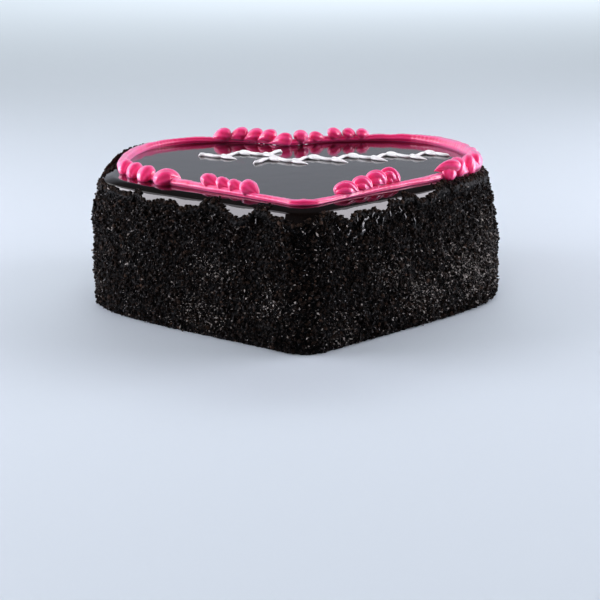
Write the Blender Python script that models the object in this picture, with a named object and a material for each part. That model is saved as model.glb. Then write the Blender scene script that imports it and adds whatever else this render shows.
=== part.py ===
# Heart-shaped black forest cake: a crumb-coated side, a dark chocolate glaze over the top,
# a piped cream rope with runs of cream shells, and two piped vine ornaments on the glaze.
# Metres, +Z up, the tip of the heart points to -Y, the underside stands on z = 0.
import math

import bmesh
import bpy
import numpy as np
from mathutils import Matrix, Vector
from mathutils.geometry import interpolate_bezier

MM = 0.001

# Heart outlines: right half of the cake's side, and the rope's two halves, which keep further from
# the edge on the left than on the right, as hand piping does. A pull is the length of a Bezier handle.
CAKE_OUTLINE = {
    "tip_y": -108.0 * MM, "tip_round": 6.5 * MM, "side_angle": 41.0, "half_width": 105.5 * MM,
    "widest_y": -4.0 * MM, "lobe_x": 52.0 * MM, "lobe_y": 108.0 * MM, "notch_y": 88.0 * MM,
    "notch_round": 4.0 * MM, "notch_angle": 50.0, "side_pull": 66.0 * MM, "in_pull": 28.0 * MM,
    "out_pull": 54.0 * MM, "lobe_in": 31.0 * MM, "lobe_out": 24.0 * MM, "notch_pull": 10.0 * MM,
}
ROPE_RIGHT = {
    "tip_y": -97.0 * MM, "tip_round": 3.5 * MM, "side_angle": 44.0, "half_width": 96.0 * MM,
    "widest_y": 20.0 * MM, "lobe_x": 49.0 * MM, "lobe_y": 91.5 * MM, "notch_y": 79.5 * MM,
    "notch_round": 2.5 * MM, "notch_angle": 42.0, "side_pull": 80.0 * MM, "in_pull": 58.0 * MM,
    "out_pull": 45.0 * MM, "lobe_in": 29.0 * MM, "lobe_out": 18.0 * MM, "notch_pull": 14.0 * MM,
}
ROPE_LEFT = {
    "tip_y": -97.0 * MM, "tip_round": 3.5 * MM, "side_angle": 46.0, "half_width": 90.0 * MM,
    "widest_y": 21.0 * MM, "lobe_x": 40.0 * MM, "lobe_y": 96.0 * MM, "notch_y": 79.5 * MM,
    "notch_round": 2.5 * MM, "notch_angle": 42.0, "side_pull": 80.0 * MM, "in_pull": 36.0 * MM,
    "out_pull": 42.0 * MM, "lobe_in": 38.0 * MM, "lobe_out": 20.0 * MM, "notch_pull": 14.0 * MM,
}
CORNER_PULL_IN = 0.55
CORNER_PULL_OUT = 0.45
BEZIER_SAMPLES = 200

# Height and side profile
CAKE_HEIGHT = 67.0 * MM
BASE_TUCK = 1.2 * MM
BASE_TUCK_HEIGHT = 8.0 * MM
TOP_LEAN = 1.8 * MM
TOP_LEAN_START = 40.0 * MM
SHOULDER_WIDTH = 5.5 * MM
SHOULDER_HEIGHT = 4.6 * MM

# Crumb coat: bumps of a crumb's size on the side, and a ragged upper edge
CRUMB_OUT = 1.1 * MM
CRUMB_IN = 0.5 * MM
CRUMB_SEED = 11
BELT_DROP = 9.0 * MM
BELT_RAGGED = 3.6 * MM
COLUMNS = 156
ROWS = 14
ROW_JITTER = 0.3

# Glaze: lies a little inside the face of the crumbs and leaves a hair of space round itself
GLAZE_THICKNESS = 1.5 * MM
GLAZE_SET_BACK = 0.9 * MM
GAP = 0.3 * MM

# Rope of cream round the top
ROPE_WIDTH = 4.8 * MM
ROPE_HEIGHT = 3.8 * MM
ROPE_GROOVE = 0.5 * MM
ROPE_JOIN_SWELL = 1.22
ROPE_SEGMENTS = 60
ROPE_SAMPLES = 600
STEM_STEPS = 4

# Shells of cream: a ball of unit size drawn out to a tail past HEAD_END
SHELL_SIDES = 8
SHELL_RINGS = 5
HEAD_END = -0.1
TAIL_NARROW = 0.55
TAIL_LOW = 0.45
TAIL_LONG = 0.25
SIZE_SPREAD = 0.05
TURN_SPREAD = 0.1

# Ornament strokes of white piping
STROKE_WIDTH = 1.9 * MM
STROKE_RISE = 0.45 * MM
LEAF_LENGTH = 7.5 * MM
LEAF_WIDTH = 3.6 * MM
LEAF_TURN = 60.0
LEAF_SIDES = 6
VINE_SWING = 5.0 * MM

TOP_Z = CAKE_HEIGHT
FLAT_ANGLE = math.radians(1.0)


def clear_scene():
    for obj in list(bpy.data.objects):
        bpy.data.objects.remove(obj, do_unlink=True)


def new_collection(name):
    col = bpy.data.collections.new(name)
    bpy.context.scene.collection.children.link(col)
    return col


def new_material(name, rgb, rough, metal=0.0):
    mat = bpy.data.materials.new(name)
    mat.use_nodes = True
    shader = mat.node_tree.nodes["Principled BSDF"]
    shader.inputs["Base Color"].default_value = (*rgb, 1.0)
    shader.inputs["Roughness"].default_value = rough
    shader.inputs["Metallic"].default_value = metal
    mat.diffuse_color = (*rgb, 1.0)
    return mat


def half_heart(tip_y, tip_round, side_angle, half_width, widest_y, lobe_x, lobe_y, notch_y,
               notch_round, notch_angle, side_pull, in_pull, out_pull, lobe_in, lobe_out, notch_pull):
    """Right half of a heart as Bezier segments, from the tip round to the notch."""
    side = Vector((math.cos(math.radians(side_angle)), math.sin(math.radians(side_angle)), 0.0))
    fall = Vector((math.cos(math.radians(notch_angle)), math.sin(math.radians(notch_angle)), 0.0))
    right = Vector((1.0, 0.0, 0.0))
    back = Vector((0.0, 1.0, 0.0))
    tip = Vector((0.0, tip_y, 0.0))
    past_tip = tip + (right + side) * tip_round
    widest = Vector((half_width, widest_y, 0.0))
    lobe = Vector((lobe_x, lobe_y, 0.0))
    notch = Vector((0.0, notch_y, 0.0))
    by_notch = notch + (right + fall) * notch_round
    tip_in = tip + right * tip_round * CORNER_PULL_IN
    tip_out = past_tip - side * tip_round * CORNER_PULL_OUT
    notch_in = by_notch - fall * notch_round * CORNER_PULL_OUT
    notch_out = notch + right * notch_round * CORNER_PULL_IN
    return [
        (tip, tip_in, tip_out, past_tip),
        (past_tip, past_tip + side * side_pull, widest - back * in_pull, widest),
        (widest, widest + back * out_pull, lobe + right * lobe_in, lobe),
        (lobe, lobe - right * lobe_out, by_notch + fall * notch_pull, by_notch),
        (by_notch, notch_in, notch_out, notch),
    ]


def mirrored(segments):
    """The other half, run the other way, so the two halves close into one loop."""
    flip = Matrix.Scale(-1.0, 3, Vector((1.0, 0.0, 0.0)))
    return [tuple(flip @ p for p in reversed(seg)) for seg in reversed(segments)]


def even_points(segments, count):
    """Points at even spacing round a closed chain of Bezier segments."""
    dense = []
    for a, a_pull, b_pull, b in segments:
        dense += [tuple(p) for p in interpolate_bezier(a, a_pull, b_pull, b, BEZIER_SAMPLES)[:-1]]
    dense = np.array(dense + dense[:1])
    run = np.concatenate(([0.0], np.cumsum(np.linalg.norm(np.diff(dense, axis=0), axis=1))))
    at = np.linspace(0.0, run[-1], count, endpoint=False)
    return np.column_stack([np.interp(at, run, dense[:, k]) for k in range(2)])


def outward(points):
    """Unit normals of a closed loop that runs anticlockwise."""
    along = np.roll(points, -1, axis=0) - np.roll(points, 1, axis=0)
    along /= np.linalg.norm(along, axis=1)[:, None]
    return np.column_stack((along[:, 1], -along[:, 0]))


def wall_inset(z):
    """How far the side lies inside the widest outline at height z: tucked in below, leaning in above."""
    low = np.clip(1.0 - z / BASE_TUCK_HEIGHT, 0.0, 1.0)
    high = np.clip((z - TOP_LEAN_START) / (CAKE_HEIGHT - TOP_LEAN_START), 0.0, 1.0)
    return BASE_TUCK * low ** 2 + TOP_LEAN * high ** 2


def ring(points, normals, inset, z):
    """One loop of the loft: the outline moved inward by inset, at height z (numbers or arrays)."""
    xy = points - normals * np.reshape(inset, (-1, 1))
    return np.column_stack((xy, np.broadcast_to(z, len(points))))


def loft(name, rings, material, collection, smooth=False):
    """Closed solid through rings of equal length, with a flat cap on the first and the last."""
    bm = bmesh.new()
    verts = [[bm.verts.new(p) for p in r] for r in rings]
    count = len(verts[0])
    for lower, upper in zip(verts, verts[1:]):
        for i in range(count):
            j = (i + 1) % count
            bm.faces.new((lower[i], lower[j], upper[j], upper[i]))
    bm.faces.new(verts[0][::-1])
    bm.faces.new(verts[-1])
    bmesh.ops.recalc_face_normals(bm, faces=bm.faces)
    mesh = bpy.data.meshes.new(name)
    bm.to_mesh(mesh)
    bm.free()
    mesh.materials.append(material)
    mesh.polygons.foreach_set("use_smooth", [smooth] * len(mesh.polygons))
    obj = bpy.data.objects.new(name, mesh)
    collection.objects.link(obj)
    return obj


def shoulder_rings(points, normals, first_inset, width, height, top_z, steps):
    """Rings over a rounded shoulder, from the wall up to the flat top."""
    out = []
    for k in range(steps + 1):
        turn = math.pi / 2 * k / steps
        inset = first_inset + width * (1.0 - math.cos(turn))
        out.append(ring(points, normals, inset, top_z - height + height * math.sin(turn)))
    return out


def belt_top(count, rng):
    """Height of the ragged upper edge of the crumb coat at every column."""
    rough = rng.uniform(-1.0, 1.0, count)
    rough = np.clip(rough * 0.75 + np.roll(rough, 1) * 0.45, -1.0, 1.0)
    return CAKE_HEIGHT - BELT_DROP + BELT_RAGGED * rough


def make_body(points, normals, belt, rng, material, collection):
    """Solid cake with the crumb coat as relief, stepped in under the glaze."""
    shoulder_base = CAKE_HEIGHT - SHOULDER_HEIGHT
    rings = [ring(points, normals, wall_inset(0.0), 0.0)]
    row_height = float(np.mean(belt)) / ROWS
    for row in range(1, ROWS + 1):
        z = belt * row / ROWS
        bump = rng.uniform(-CRUMB_OUT, CRUMB_IN, len(points))
        if row < ROWS:
            z = z + rng.uniform(-ROW_JITTER, ROW_JITTER, len(points)) * row_height
        rings.append(ring(points, normals, wall_inset(z) + bump, z))
    step = GLAZE_SET_BACK + GLAZE_THICKNESS + GAP
    rings.append(ring(points, normals, wall_inset(belt) + step, belt))
    inner_inset = float(wall_inset(shoulder_base)) + step
    rings += shoulder_rings(points, normals, inner_inset, SHOULDER_WIDTH - GLAZE_THICKNESS,
                            SHOULDER_HEIGHT - GLAZE_THICKNESS, CAKE_HEIGHT - GLAZE_THICKNESS - GAP, 1)
    return loft("cake_body", rings, material, collection)


def make_glaze(points, normals, belt, material, collection):
    """Lid of glaze: a flat top, a rounded shoulder and a skirt that ends above the crumbs."""
    shoulder_base = CAKE_HEIGHT - SHOULDER_HEIGHT
    hem = belt + GAP
    outer = float(wall_inset(shoulder_base)) + GLAZE_SET_BACK
    inner = outer + GLAZE_THICKNESS
    rings = shoulder_rings(points, normals, inner, SHOULDER_WIDTH - GLAZE_THICKNESS,
                           SHOULDER_HEIGHT - GLAZE_THICKNESS, CAKE_HEIGHT - GLAZE_THICKNESS, 1)[::-1]
    rings.append(ring(points, normals, wall_inset(hem) + GLAZE_SET_BACK + GLAZE_THICKNESS, hem))
    rings.append(ring(points, normals, wall_inset(hem) + GLAZE_SET_BACK, hem))
    rings += shoulder_rings(points, normals, outer, SHOULDER_WIDTH, SHOULDER_HEIGHT, CAKE_HEIGHT, 2)
    return loft("chocolate_glaze", rings, material, collection, smooth=True)


def make_envelope(points, normals, material, collection):
    """The outside of glaze and crumbs, grown by the gap: cream is cut to fit on it."""
    shoulder_base = CAKE_HEIGHT - SHOULDER_HEIGHT
    outer = float(wall_inset(shoulder_base)) + GLAZE_SET_BACK - GAP
    low = CAKE_HEIGHT - 3 * BELT_DROP
    belt_low = CAKE_HEIGHT - BELT_DROP + BELT_RAGGED
    rings = [ring(points, normals, -CRUMB_OUT - GAP, low)]
    rings.append(ring(points, normals, -CRUMB_OUT - GAP, belt_low - BELT_DROP / 2))
    rings += shoulder_rings(points, normals, outer, SHOULDER_WIDTH, SHOULDER_HEIGHT, CAKE_HEIGHT + GAP, 2)
    obj = loft("cutter_envelope", rings, material, collection)
    obj.hide_render = True
    obj.display_type = "WIRE"
    return obj


def bezier_object(name, segments, collection):
    """An open Bezier curve object through a chain of segments."""
    curve = bpy.data.curves.new(name, "CURVE")
    curve.dimensions = "3D"
    curve.resolution_u = STEM_STEPS
    spline = curve.splines.new("BEZIER")
    spline.bezier_points.add(len(segments))
    for i, point in enumerate(spline.bezier_points):
        before = segments[i - 1] if i > 0 else None
        after = segments[i] if i < len(segments) else None
        point.co = after[0] if after else before[3]
        point.handle_left_type = "FREE"
        point.handle_right_type = "FREE"
        point.handle_left = before[2] if before else point.co
        point.handle_right = after[1] if after else point.co
    obj = bpy.data.objects.new(name, curve)
    collection.objects.link(obj)
    return obj


def loop_object(name, points, collection):
    """A closed poly curve object through points at one height."""
    curve = bpy.data.curves.new(name, "CURVE")
    curve.dimensions = "3D"
    curve.twist_mode = "Z_UP"
    spline = curve.splines.new("POLY")
    spline.points.add(len(points) - 1)
    spline.use_cyclic_u = True
    for point, (x, y) in zip(spline.points, points):
        point.co = (x, y, 0.0, 1.0)
    obj = bpy.data.objects.new(name, curve)
    collection.objects.link(obj)
    return obj


def rope_profile(name, grow, collection):
    """Cross-section of the rope: flat below, three ribs above."""
    half = ROPE_WIDTH / 2 + grow
    top = ROPE_HEIGHT + grow
    groove = 0.0 if grow else ROPE_GROOVE
    shape = [(-half * 0.82, -grow), (half * 0.82, -grow), (half, top * 0.4), (half * 0.72, top * 0.82),
             (half * 0.36, top * 0.98 - groove), (0.0, top), (-half * 0.36, top * 0.98 - groove),
             (-half * 0.72, top * 0.82), (-half, top * 0.4)]
    curve = bpy.data.curves.new(name, "CURVE")
    curve.dimensions = "2D"
    spline = curve.splines.new("POLY")
    spline.points.add(len(shape) - 1)
    spline.use_cyclic_u = True
    for point, (x, y) in zip(spline.points, shape):
        point.co = (x, y, 0.0, 1.0)
    obj = bpy.data.objects.new(name, curve)
    collection.objects.link(obj)
    return obj


def curve_to_mesh(obj, name, material, collection, smooth=True):
    """Turn a bevelled curve into a mesh object and drop the curve."""
    graph = bpy.context.evaluated_depsgraph_get()
    mesh = bpy.data.meshes.new_from_object(obj.evaluated_get(graph))
    mesh.name = name
    bm = bmesh.new()
    bm.from_mesh(mesh)
    bmesh.ops.remove_doubles(bm, verts=bm.verts, dist=0.00001)
    bmesh.ops.recalc_face_normals(bm, faces=bm.faces)
    bm.to_mesh(mesh)
    bm.free()
    mesh.materials.clear()
    mesh.materials.append(material)
    mesh.polygons.foreach_set("use_smooth", [smooth] * len(mesh.polygons))
    out = bpy.data.objects.new(name, mesh)
    out.matrix_world = obj.matrix_world.copy()
    collection.objects.link(out)
    curve = obj.data
    bpy.data.objects.remove(obj, do_unlink=True)
    bpy.data.curves.remove(curve)
    return out


def make_rope(name, segments, grow, material, collection):
    """The piped rope, lying on the glaze, thicker where the piping began and ended at the tip."""
    path = loop_object(name + "_path", even_points(segments, ROPE_SEGMENTS), collection)
    path.location.z = TOP_Z + GAP
    path.data.splines[0].points[0].radius = ROPE_JOIN_SWELL
    profile = rope_profile(name + "_profile", grow, collection)
    path.data.bevel_mode = "OBJECT"
    path.data.bevel_object = profile
    bpy.context.view_layer.update()
    rope = curve_to_mesh(path, name, material, collection)
    shape = profile.data
    bpy.data.objects.remove(profile, do_unlink=True)
    bpy.data.curves.remove(shape)
    return rope


def drop(name, at, heading, size, material, collection, pitch=0.0, sides=SHELL_SIDES):
    """One pressed shell of cream: a round head that draws out to a narrow tail along heading."""
    bpy.ops.mesh.primitive_uv_sphere_add(segments=sides, ring_count=SHELL_RINGS, radius=0.5)
    obj = bpy.context.object
    obj.name = name
    obj.data.name = name
    for v in obj.data.vertices:
        tail = max(0.0, v.co.x - HEAD_END) / (0.5 - HEAD_END)
        v.co.y *= 1.0 - TAIL_NARROW * tail
        v.co.z *= 1.0 - TAIL_LOW * tail
        v.co.x *= 1.0 + TAIL_LONG * tail
    turn = Matrix.Rotation(heading, 4, "Z") @ Matrix.Rotation(pitch, 4, "Y")
    obj.data.transform(Matrix.Translation(at) @ turn @ Matrix.Diagonal((*size, 1.0)))
    obj.data.polygons.foreach_set("use_smooth", [True] * len(obj.data.polygons))
    obj.data.materials.append(material)
    for old in list(obj.users_collection):
        old.objects.unlink(obj)
    collection.objects.link(obj)
    return obj


def merge_flats(mesh):
    """Join the coplanar splinters that a Boolean leaves into single flat faces."""
    bm = bmesh.new()
    bm.from_mesh(mesh)
    bmesh.ops.dissolve_limit(bm, angle_limit=FLAT_ANGLE, verts=bm.verts, edges=bm.edges)
    bm.to_mesh(mesh)
    bm.free()


def apply_boolean(target, operation, solver, other=None, group=None):
    """Apply one Boolean to the target and keep its material."""
    mod = target.modifiers.new("cut", "BOOLEAN")
    mod.operation = operation
    mod.solver = solver
    if group is None:
        mod.object = other
    else:
        mod.operand_type = "COLLECTION"
        mod.collection = group
    bpy.context.view_layer.update()
    graph = bpy.context.evaluated_depsgraph_get()
    mesh = bpy.data.meshes.new_from_object(target.evaluated_get(graph))
    target.modifiers.clear()
    merge_flats(mesh)
    old = target.data
    target.data = mesh
    mesh.name = target.name
    bpy.data.meshes.remove(old)


def keep_largest(mesh):
    """Drop the small offcuts that a cut leaves beyond the rope."""
    bm = bmesh.new()
    bm.from_mesh(mesh)
    left = set(bm.verts)
    parts = []
    while left:
        part = {left.pop()}
        edge = list(part)
        while edge:
            for link in edge.pop().link_edges:
                for v in link.verts:
                    if v in left:
                        left.discard(v)
                        part.add(v)
                        edge.append(v)
        parts.append(part)
    parts.sort(key=len)
    print(mesh.name, "bodies", [len(part) for part in parts])
    for part in parts[:-1]:
        bmesh.ops.delete(bm, geom=list(part), context="VERTS")
    bm.to_mesh(mesh)
    bm.free()


def fuse(pieces, name, collection):
    """One union of all the pieces into the first, which takes the name."""
    first = pieces[0]
    group = new_collection(name + "_pieces")
    for piece in pieces[1:]:
        collection.objects.unlink(piece)
        group.objects.link(piece)
    if len(pieces) > 1:
        apply_boolean(first, "UNION", "MANIFOLD", group=group)
    for piece in list(group.objects):
        bpy.data.objects.remove(piece, do_unlink=True)
    bpy.data.collections.remove(group)
    first.name = name
    first.data.name = name
    return first


def make_run(name, path, first, last, count, aside, size, turn, rise, grow_end, pitch, rng, material,
             collection):
    """A row of overlapping shells along part of the rope's path, fused into one piece of cream."""
    length, width, height = size
    way_out = outward(path)
    pieces = []
    for i in range(count):
        t = i / (count - 1)
        scale = (1.0 + grow_end * t) * (1.0 + rng.uniform(-SIZE_SPREAD, SIZE_SPREAD))
        k = int((first + (last - first) * t) * len(path)) % len(path)
        x, y = path[k] + way_out[k] * aside
        at = Vector((x, y, TOP_Z + rise))
        heading = math.atan2(way_out[k][1], way_out[k][0]) + math.pi / 2 + math.radians(turn)
        heading += rng.uniform(-TURN_SPREAD, TURN_SPREAD)
        shell = (length * scale, width * scale, height * scale)
        pieces.append(drop(f"{name}_{i}", at, heading, shell, material, collection, pitch))
    return fuse(pieces, name, collection)


def vine_segments(start, end, waves, swing, phase):
    """A running wave between two points as Bezier segments, two to a wave."""
    start = Vector((*start, 0.0))
    way = Vector((*end, 0.0)) - start
    step = way / (2 * waves)
    across = Vector((-way.y, way.x, 0.0)).normalized() * swing
    knots = [start + step * k + across * (phase if k % 2 == 0 else -phase) for k in range(2 * waves + 1)]
    return [(a, a + step * 0.55, b - step * 0.55, b) for a, b in zip(knots, knots[1:])]


def make_vine(name, start, end, waves, swing, phase, material, collection):
    """A vine ornament: a waving stem with a leaf on the outside of every bend."""
    segments = vine_segments(start, end, waves, swing, phase)
    stem = bezier_object(name + "_stem", segments, collection)
    stem.location.z = TOP_Z + STROKE_RISE
    stem.data.bevel_depth = STROKE_WIDTH / 2
    stem.data.bevel_resolution = 0
    stem.data.use_fill_caps = True
    bpy.context.view_layer.update()
    pieces = [curve_to_mesh(stem, name, material, collection)]
    slope = math.atan2(end[1] - start[1], end[0] - start[0])
    for k, segment in enumerate(segments[:-1]):
        side = -phase if k % 2 == 0 else phase
        way = slope + math.radians(LEAF_TURN) * side
        lean = Vector((math.cos(way), math.sin(way), 0.0))
        at = segment[3] + lean * LEAF_LENGTH * 0.45
        at.z = TOP_Z + STROKE_RISE
        leaf = (LEAF_LENGTH, LEAF_WIDTH, STROKE_WIDTH)
        pieces.append(drop(f"{name}_leaf_{k}", at, way, leaf, material, collection, sides=LEAF_SIDES))
    return fuse(pieces, name, collection)


def centre_on_base(objects):
    """Shift every piece so that the origin lies under the middle of the whole, on the base plane."""
    low = Vector((1e9, 1e9, 1e9))
    high = -low
    for obj in objects:
        for v in obj.data.vertices:
            low = Vector(map(min, low, obj.matrix_world @ v.co))
            high = Vector(map(max, high, obj.matrix_world @ v.co))
    shift = Vector((-(low.x + high.x) / 2, -(low.y + high.y) / 2, -low.z))
    for obj in objects:
        obj.data.transform(Matrix.Translation(shift) @ obj.matrix_world)
        obj.matrix_world = Matrix.Identity(4)
    print("size mm", [round((h - l) / MM, 2) for l, h in zip(low, high)])
    print("shift mm", [round(s / MM, 2) for s in shift])


clear_scene()
cake = new_collection("black_forest_cake")
cutters = new_collection("cutters")

crumb = new_material("chocolate_crumb", (0.012, 0.008, 0.006), 0.75)
glaze = new_material("chocolate_glaze", (0.008, 0.006, 0.005), 0.06)
cream = new_material("pink_cream", (0.85, 0.08, 0.24), 0.42)
silver = new_material("silver_white_icing", (0.85, 0.86, 0.88), 0.3)

half = half_heart(**CAKE_OUTLINE)
outline = even_points(half + mirrored(half), COLUMNS)
normals = outward(outline)
rng = np.random.default_rng(CRUMB_SEED)
belt = belt_top(COLUMNS, rng)

body = make_body(outline, normals, belt, rng, crumb, cake)
lid = make_glaze(outline, normals, belt, glaze, cake)
envelope = make_envelope(outline, normals, glaze, cutters)

rope_path = half_heart(**ROPE_RIGHT) + mirrored(half_heart(**ROPE_LEFT))
rope = make_rope("cream_rope", rope_path, 0.0, cream, cake)
rope_cutter = make_rope("cutter_rope", rope_path, GAP, cream, cutters)
rope_cutter.hide_render = True
rope_cutter.display_type = "WIRE"

# Runs of shells: name, first and last place as a share of the rope's length, count, distance outside
# the rope in mm, length-width-height in mm, turn of the tail from the rope's direction in degrees,
# height of the middle in mm, growth along the run, dip of the tail in radians
RUNS = (
    ("shells_left_outer", 0.798, 0.853, 4, 3.2, (15, 15, 7.5), 50, 2.8, 0.1, 0.0),
    ("shells_left_inner", 0.889, 0.935, 4, -3.5, (12, 10, 7.5), -25, 2.8, 0.1, 0.05),
    ("shells_right_inner", 0.054, 0.113, 5, -4.0, (13, 10, 7.5), -20, 2.8, 0.0, 0.05),
    ("shells_right_outer", 0.157, 0.211, 5, 3.5, (16, 13.5, 8), 95, 2.9, 0.0, -0.25),
    ("shells_back_left", 0.568, 0.516, 5, 0.5, (14, 10, 7.5), 0, 4.4, 0.0, -0.05),
    ("shells_back_right", 0.489, 0.438, 5, 0.5, (13, 9.5, 7), 180, 4.2, 0.0, -0.05),
)
rope_line = even_points(rope_path, ROPE_SAMPLES)
pieces = [body, lid, rope]
for name, first, last, count, aside, size, turn, rise, grow, pitch in RUNS:
    run = make_run(name, rope_line, first, last, count, aside * MM, [c * MM for c in size], turn,
                   rise * MM, grow, pitch, rng, cream, cake)
    apply_boolean(run, "DIFFERENCE", "MANIFOLD", other=envelope)
    apply_boolean(run, "DIFFERENCE", "MANIFOLD", other=rope_cutter)
    keep_largest(run.data)
    pieces.append(run)

# Vine ornaments in two rows: name, start, end, number of waves, side of the first bend
VINES = (
    ("ornament_upper", (-50, 43), (-4, 51), 2, 1.0),
    ("ornament_lower", (-22, 24), (84, 37), 5, -1.0),
)
for name, start, end, waves, phase in VINES:
    vine = make_vine(name, [c * MM for c in start], [c * MM for c in end], waves, VINE_SWING, phase,
                     silver, cake)
    apply_boolean(vine, "DIFFERENCE", "MANIFOLD", other=envelope)
    pieces.append(vine)

for cutter in (envelope, rope_cutter):
    bpy.data.objects.remove(cutter, do_unlink=True)
centre_on_base(pieces)
for piece in pieces:
    piece.data.calc_loop_triangles()
    print(piece.name, "triangles", len(piece.data.loop_triangles))
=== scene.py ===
# %% [markdown]
# # A heart cake with piped cream, dressed in Blender
#
# The cake is a heart about 21 cm across: a dark sponge whose side is pressed full of chocolate crumbs,
# a lid of mirror-bright chocolate glaze, a rope of pink cream near the rim, six short runs of cream
# shells, and two silver-white vines piped on the top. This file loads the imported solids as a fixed
# frame and gives every one of them its real surface. All lengths are in metres, +Z is up, the tip of
# the heart points to -Y, and the camera looks along +Y.

# %% Load the frame
import math
import bmesh
import bpy
import numpy as np
from mathutils import Matrix, Vector
from mathutils.geometry import interpolate_bezier


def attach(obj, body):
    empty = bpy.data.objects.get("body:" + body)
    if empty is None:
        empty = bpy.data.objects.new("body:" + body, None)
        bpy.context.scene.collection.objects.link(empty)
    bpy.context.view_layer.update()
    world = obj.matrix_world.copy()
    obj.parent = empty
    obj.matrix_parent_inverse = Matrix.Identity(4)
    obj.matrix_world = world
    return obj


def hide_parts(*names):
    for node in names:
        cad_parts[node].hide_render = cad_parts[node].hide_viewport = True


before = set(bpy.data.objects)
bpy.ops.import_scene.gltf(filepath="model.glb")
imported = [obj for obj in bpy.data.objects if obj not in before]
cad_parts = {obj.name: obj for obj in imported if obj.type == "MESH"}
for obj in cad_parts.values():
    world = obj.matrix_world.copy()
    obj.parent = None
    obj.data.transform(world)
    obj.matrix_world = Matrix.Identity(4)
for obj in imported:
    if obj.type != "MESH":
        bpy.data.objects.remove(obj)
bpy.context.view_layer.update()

MM = 0.001
print("solids in the frame:", sorted(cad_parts))

# %% [markdown]
# ## Colour and nodes
#
# Paint charts and photographs give colours as sRGB hex values, while a shader works in linear light.
# One function makes the change, so that every colour below can be written the way a colour picker
# shows it. One more function adds a node of any kind with its settings and links.

# %% Colour and node helpers
def linear(hex_colour):
    """An sRGB hex colour as linear red, green, blue and an alpha of one."""
    out = []
    for k in (1, 3, 5):
        c = int(hex_colour[k:k + 2], 16) / 255.0
        out.append(c / 12.92 if c <= 0.04045 else ((c + 0.055) / 1.055) ** 2.4)
    return (*out, 1.0)


def add(tree, kind, links=(), **settings):
    """Add a node: settings are its properties or inputs, links join its inputs to other sockets.

    A setting such as i6 means input number 6, for nodes that have several inputs of one name.
    """
    made = tree.nodes.new(kind)
    inputs = {}
    for key, value in settings.items():
        if hasattr(made, key):
            setattr(made, key, value)
        else:
            inputs[key] = value
    for key, value in inputs.items():
        made.inputs[int(key[1:]) if key[1:].isdigit() else key.replace("_", " ")].default_value = value
    for key, socket in dict(links).items():
        tree.links.new(socket, made.inputs[key])
    return made


def new_finish(name):
    """A material with its tree and its shader, ready for nodes."""
    finish = bpy.data.materials.new(name)
    finish.use_nodes = True
    return finish, finish.node_tree, finish.node_tree.nodes["Principled BSDF"]


def set_shader(shader, **values):
    """Numbers and colours that are the same all over go straight on the shader's own sockets."""
    for key, value in values.items():
        shader.inputs[key.replace("_", " ")].default_value = value


print("mid grey in linear light:", round(linear("#808080")[0], 3))

# %% [markdown]
# ## Camera
#
# The photograph was taken from in front, a little to the left, and about 15 degrees above the cake.
# The lens is fairly long, because the back of the heart looks almost as wide as the front. The camera
# is built from its three axes, so heading, dip and the small tilt of the picture stay readable.

# %% Camera at the photograph's place
# Angles are in radians, the lens and the sensor in mm
CAMERA_AT = Vector((-29.03, -714.15, 191.59)) * MM
CAMERA_HEADING = 0.043
CAMERA_DIP = 0.26495
CAMERA_TILT = -0.01055
CAMERA_LENS = 84.604
SENSOR_WIDTH = 36.0
PICTURE_SIDE = 600.0
TOP_TIP = (0.0, -108 * MM, 67 * MM)

ahead = Vector((math.sin(CAMERA_HEADING) * math.cos(CAMERA_DIP),
                math.cos(CAMERA_HEADING) * math.cos(CAMERA_DIP), -math.sin(CAMERA_DIP)))
level_right = Vector((math.cos(CAMERA_HEADING), -math.sin(CAMERA_HEADING), 0.0))
level_up = level_right.cross(ahead)
camera_right = level_right * math.cos(CAMERA_TILT) + level_up * math.sin(CAMERA_TILT)
camera_up = level_up * math.cos(CAMERA_TILT) - level_right * math.sin(CAMERA_TILT)

camera_data = bpy.data.cameras.new("camera")
camera_data.lens = CAMERA_LENS
camera_data.sensor_width = SENSOR_WIDTH
camera_data.sensor_fit = "HORIZONTAL"
camera_data.clip_start = 0.02
camera_data.clip_end = 60.0
camera = bpy.data.objects.new("camera", camera_data)
axes = Matrix((camera_right, camera_up, -ahead)).transposed()
camera.matrix_world = Matrix.Translation(CAMERA_AT) @ axes.to_4x4()
bpy.context.scene.collection.objects.link(camera)
bpy.context.scene.camera = camera


def in_frame(point):
    """Where a point falls in the square picture, in pixels from the top left."""
    p = Vector(point) - CAMERA_AT
    scale = PICTURE_SIDE * CAMERA_LENS / SENSOR_WIDTH / p.dot(ahead)
    middle = PICTURE_SIDE / 2.0
    return round(middle + p.dot(camera_right) * scale, 1), round(middle - p.dot(camera_up) * scale, 1)


print("the tip of the top falls at", in_frame(TOP_TIP))

# %% [markdown]
# ## Floor and light
#
# Food is lit soft and from the sides, so that gloss shows as clean bright patches with dark between
# them. Two softboxes stand at each side, a strong one low down and a weak one above it: the steep edge
# of the glaze mirrors them, and so do the flanks of the cream. A tall window stands behind at the left.
# The surroundings are grey round the horizon, brighter behind the cake than in front, and the flat top
# mirrors them. Overhead they are nearly black, which the falling shoulder mirrors as a dark band. Three
# fills light the floor, the icing and the cream, and stay out of every reflection. The picture is shown
# plainly, without a film look over it.

# %% Floor and surroundings
bpy.context.scene.view_settings.view_transform = "Standard"
FLOOR_HALF = 12.0
FLOOR_COLOUR = "#c1cbd4"
AROUND_BEHIND = "#a8acb6"
AROUND_SHADE = 0.22
OVERHEAD_SHADE = 0.1
# Parts of a direction of length one, from which the surroundings begin and end to change
FRONT_Y, BEHIND_Y = -0.3, 0.5
HORIZON_Z, OVERHEAD_Z = 0.27, 0.42

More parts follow.
